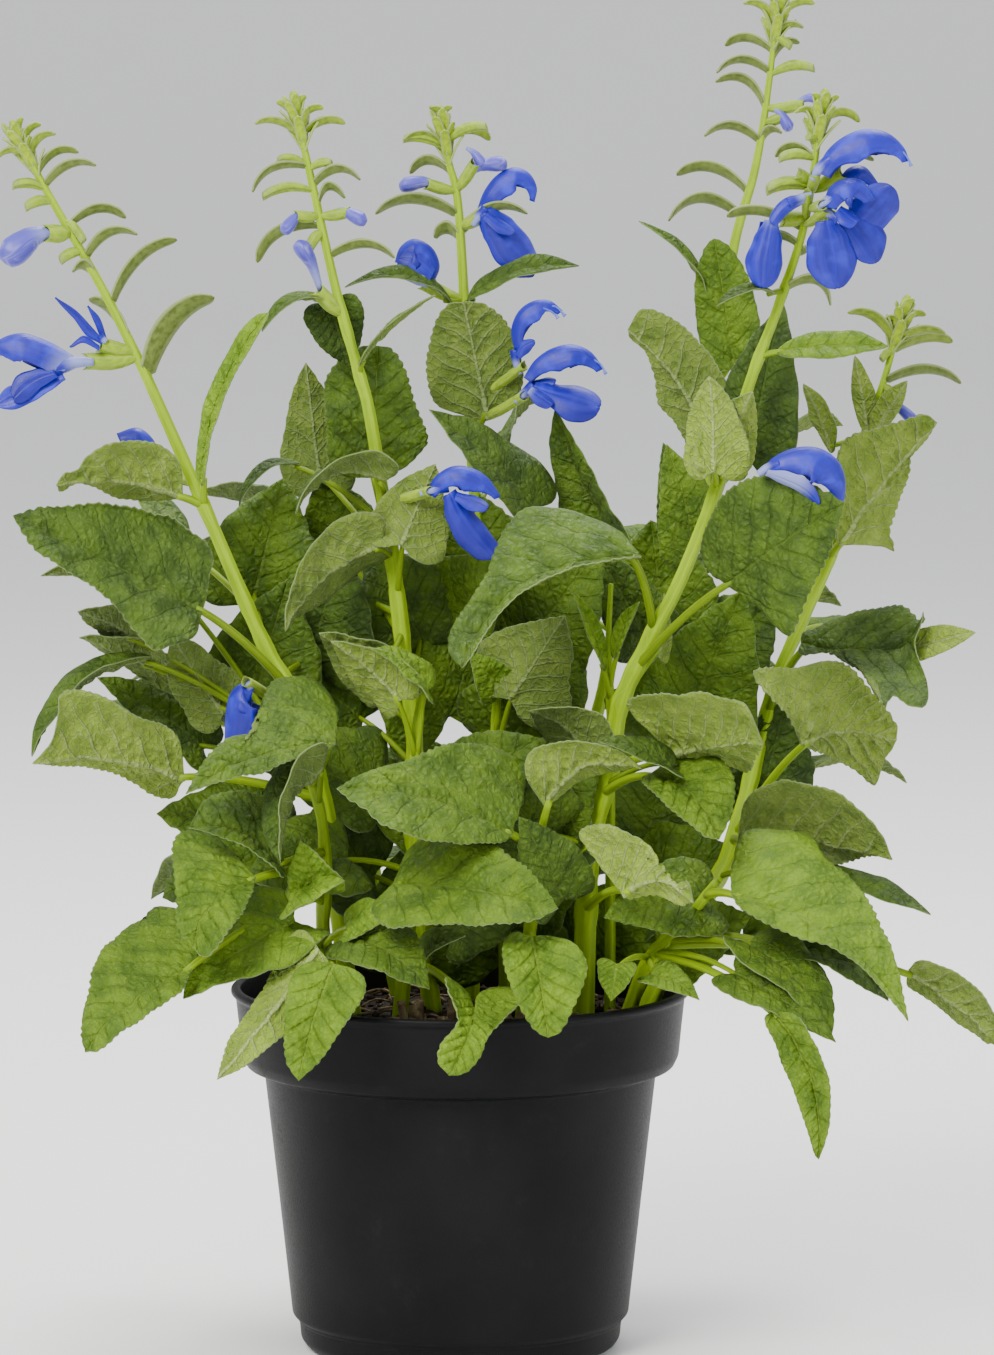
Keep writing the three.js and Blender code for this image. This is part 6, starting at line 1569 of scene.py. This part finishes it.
pot_profile = [
    (0, 0), (BASE_RADIUS - 7, 0), (BASE_RADIUS, 0), (BASE_RADIUS + 2.4, 0.9), (FOOT_RADIUS - 0.6, 3),
    (FOOT_RADIUS, FOOT_HEIGHT), (BODY_BOTTOM_RADIUS, FOOT_HEIGHT + 2),
    (59.7, 52), (BODY_TOP_RADIUS, POT_HEIGHT - BAND_HEIGHT - 5),
    (BAND_BOTTOM_RADIUS - 1.6, POT_HEIGHT - BAND_HEIGHT - 3.4),
    (BAND_BOTTOM_RADIUS, POT_HEIGHT - BAND_HEIGHT),
    (72.5, 107), (BAND_TOP_RADIUS, POT_HEIGHT - 3), (POT_RIM_RADIUS, POT_HEIGHT - 2),
    (POT_RIM_RADIUS, POT_HEIGHT - 0.6), (POT_RIM_RADIUS - 0.6, POT_HEIGHT),
    (BAND_TOP_RADIUS - POT_WALL, POT_HEIGHT), (BAND_BOTTOM_RADIUS - POT_WALL, POT_HEIGHT - BAND_HEIGHT),
    (BODY_TOP_RADIUS - POT_WALL, POT_HEIGHT - BAND_HEIGHT - 6), (BODY_BOTTOM_RADIUS - POT_WALL, FOOT_HEIGHT),
    (FOOT_RADIUS - 4, POT_FLOOR + 2), (FOOT_RADIUS - 7, POT_FLOOR), (0, POT_FLOOR)]
turned("pot_shell", rounded(pot_profile, 0.9), POT_STEPS, ["pot"], POT_PLASTIC, cut_notches)

# ---- Soil ----


def soil_height(x, y):
    away = math.hypot(x, y) / SOIL_RADIUS
    lumps = 1.3 * noise.noise(Vector((x * 0.11, y * 0.11, 3)))
    lumps += 0.7 * noise.noise(Vector((x * 0.35, y * 0.35, 8)))
    return SOIL_TOP + SOIL_DOME * (1 - away * away) + lumps * min(1, 3 * (1 - away) + 0.4) - 0.4


def heap_soil(bm):
    for v in bm.verts:
        if v.co.z > SOIL_TOP - 2 and math.hypot(v.co.x, v.co.y) < SOIL_RADIUS:
            v.co.z = soil_height(v.co.x, v.co.y)


soil_profile = [(0, POT_FLOOR + 0.3), (FOOT_RADIUS - 8, POT_FLOOR + 0.3), (FOOT_RADIUS - 5, POT_FLOOR + 2.6),
                (53, 10), (62, 90), (69, 96.6), (70.8, SOIL_TOP - 1)]
soil_profile += [(70.6 - 1.9 * i, SOIL_TOP) for i in range(37)] + [(0, SOIL_TOP)]
turned("soil_ball", soil_profile, 96, ["soil"], PEAT, heap_soil)


def scatter_soil():
    """Crumbs, dry fibres and the short stubs of old stems on the soil, none of them past the pot's wall."""
    draw = random.Random(SOIL_DRAW)
    crumbs, fibres = new_piece(), new_piece()

    def somewhere(reach):
        angle, away = draw.uniform(0, 2 * math.pi), reach * math.sqrt(draw.random())
        return away * math.cos(angle), away * math.sin(angle)

    def on_soil(x, y, lift):
        return Vector((x, y, soil_height(x, y) + lift))

    for _ in range(CRUMBS):
        x, y = somewhere(SOIL_RADIUS - 3)
        size = draw.uniform(0.6, 1.9)
        ball = bmesh.ops.create_icosphere(crumbs, subdivisions=1, radius=size)["verts"]
        for v in ball:
            v.co *= 1 + 0.35 * noise.noise(v.co * 1.3 + Vector((x, y, 0)))
            v.co += on_soil(x, y, size * 0.3)
    for _ in range(FIBRES):
        x, y = somewhere(SOIL_RADIUS - 7)
        turn, run = draw.uniform(0, 2 * math.pi), draw.uniform(5, 16)
        dx, dy = run * math.cos(turn) / 2, run * math.sin(turn) / 2
        if max(math.hypot(x + dx, y + dy), math.hypot(x - dx, y - dy)) > SOIL_RADIUS - 4:
            continue
        ends = [on_soil(x - dx, y - dy, 0.3), on_soil(x, y, draw.uniform(0.8, 2.4)),
                on_soil(x + dx, y + dy, 0.3)]
        thick = draw.uniform(0.25, 0.6)
        rod(fibres, smooth_way(ends), run, lambda t: thick, 5, 6, 0)
    for _ in range(STEM_STUBS):
        angle, away = draw.uniform(-2.6, -0.5), draw.uniform(12, 62)
        x, y = away * math.cos(angle), away * math.sin(angle)
        foot = on_soil(x, y, -1.5)
        top = foot + Vector((draw.uniform(-2, 2), draw.uniform(-2, 1), draw.uniform(5, 9)))
        rod(fibres, smooth_way([foot, (foot + top) / 2, top]), 8, lambda t: 1.6 - 0.3 * t, 10, 5, 0,
            ridge=0.06)
    finish_piece("soil_crumbs", crumbs, ["soil"], [PEAT])
    finish_piece("soil_fibres", fibres, ["soil"], [STRAW])


scatter_soil()

# ---- Floor, light and camera, in metres ----

FLOOR_DROP = -0.0003              # the floor lies this far under the pot's base
CAMERA_PLACE = (0.012, -2.0, 0.425)
CAMERA_DIP = 5.85                 # degrees below level
CAMERA_LENS = 164.1
CAMERA_SENSOR = 36


def make_floor():
    """A pale floor that sweeps up into a low wall far away on all sides."""
    reach, sweep = 7, 2
    profile = [(0, 0), (2, 0), (5, 0), (reach, 0)]
    for step in range(1, 13):
        angle = step * math.pi / 24
        profile.append((reach + sweep * math.sin(angle), sweep - sweep * math.cos(angle)))
    profile.append((reach + sweep, 3.5))
    bm = spun(profile, 96)
    mesh = bpy.data.meshes.new("studio_floor")
    bm.to_mesh(mesh)
    bm.free()
    f = Finish("studio floor", Specular_IOR_Level=0.1)
    cloud = f.noise(f.object_place(), 1.5, 2.0)
    colour = f.blend(cloud, (0.8, 0.8, 0.795, 1), (0.83, 0.83, 0.825, 1))
    mesh.materials.append(f.done(colour, cloud, 0.0, 1.0, 0.75, 0.85))
    floor = bpy.data.objects.new("studio_floor", mesh)
    floor.location.z = FLOOR_DROP
    bpy.context.scene.collection.objects.link(floor)


def make_light(name, place, target, size, power, colour):
    lamp = bpy.data.lights.new(name, "AREA")
    lamp.shape = "DISK"
    lamp.size = size
    lamp.energy = power
    lamp.color = colour
    holder = bpy.data.objects.new(name, lamp)
    holder.location = place
    holder.rotation_euler = (Vector(target) - Vector(place)).to_track_quat("-Z", "Y").to_euler()
    bpy.context.scene.collection.objects.link(holder)


make_floor()
make_light("key_light", (-0.9, -1.6, 1.7), (0, 0, 0.24), 1.1, 78, (1, 0.985, 0.95))
make_light("fill_light", (1.5, -1.3, 0.8), (0, 0, 0.2), 1.3, 10, (0.97, 0.985, 1))
make_light("top_light", (0.2, 0.7, 1.8), (0, 0, 0.25), 1.0, 42, (1, 1, 0.98))
world = bpy.data.worlds.new("studio")
world.use_nodes = True
world.node_tree.nodes["Background"].inputs["Color"].default_value = (0.93, 0.945, 0.96, 1)
world.node_tree.nodes["Background"].inputs["Strength"].default_value = 1.1
bpy.context.scene.world = world

camera = bpy.data.objects.new("camera", bpy.data.cameras.new("camera"))
camera.location = CAMERA_PLACE
camera.rotation_euler = (math.radians(90 - CAMERA_DIP), 0, 0)
camera.data.sensor_width = CAMERA_SENSOR
camera.data.lens = CAMERA_LENS
bpy.context.scene.collection.objects.link(camera)
bpy.context.scene.camera = camera
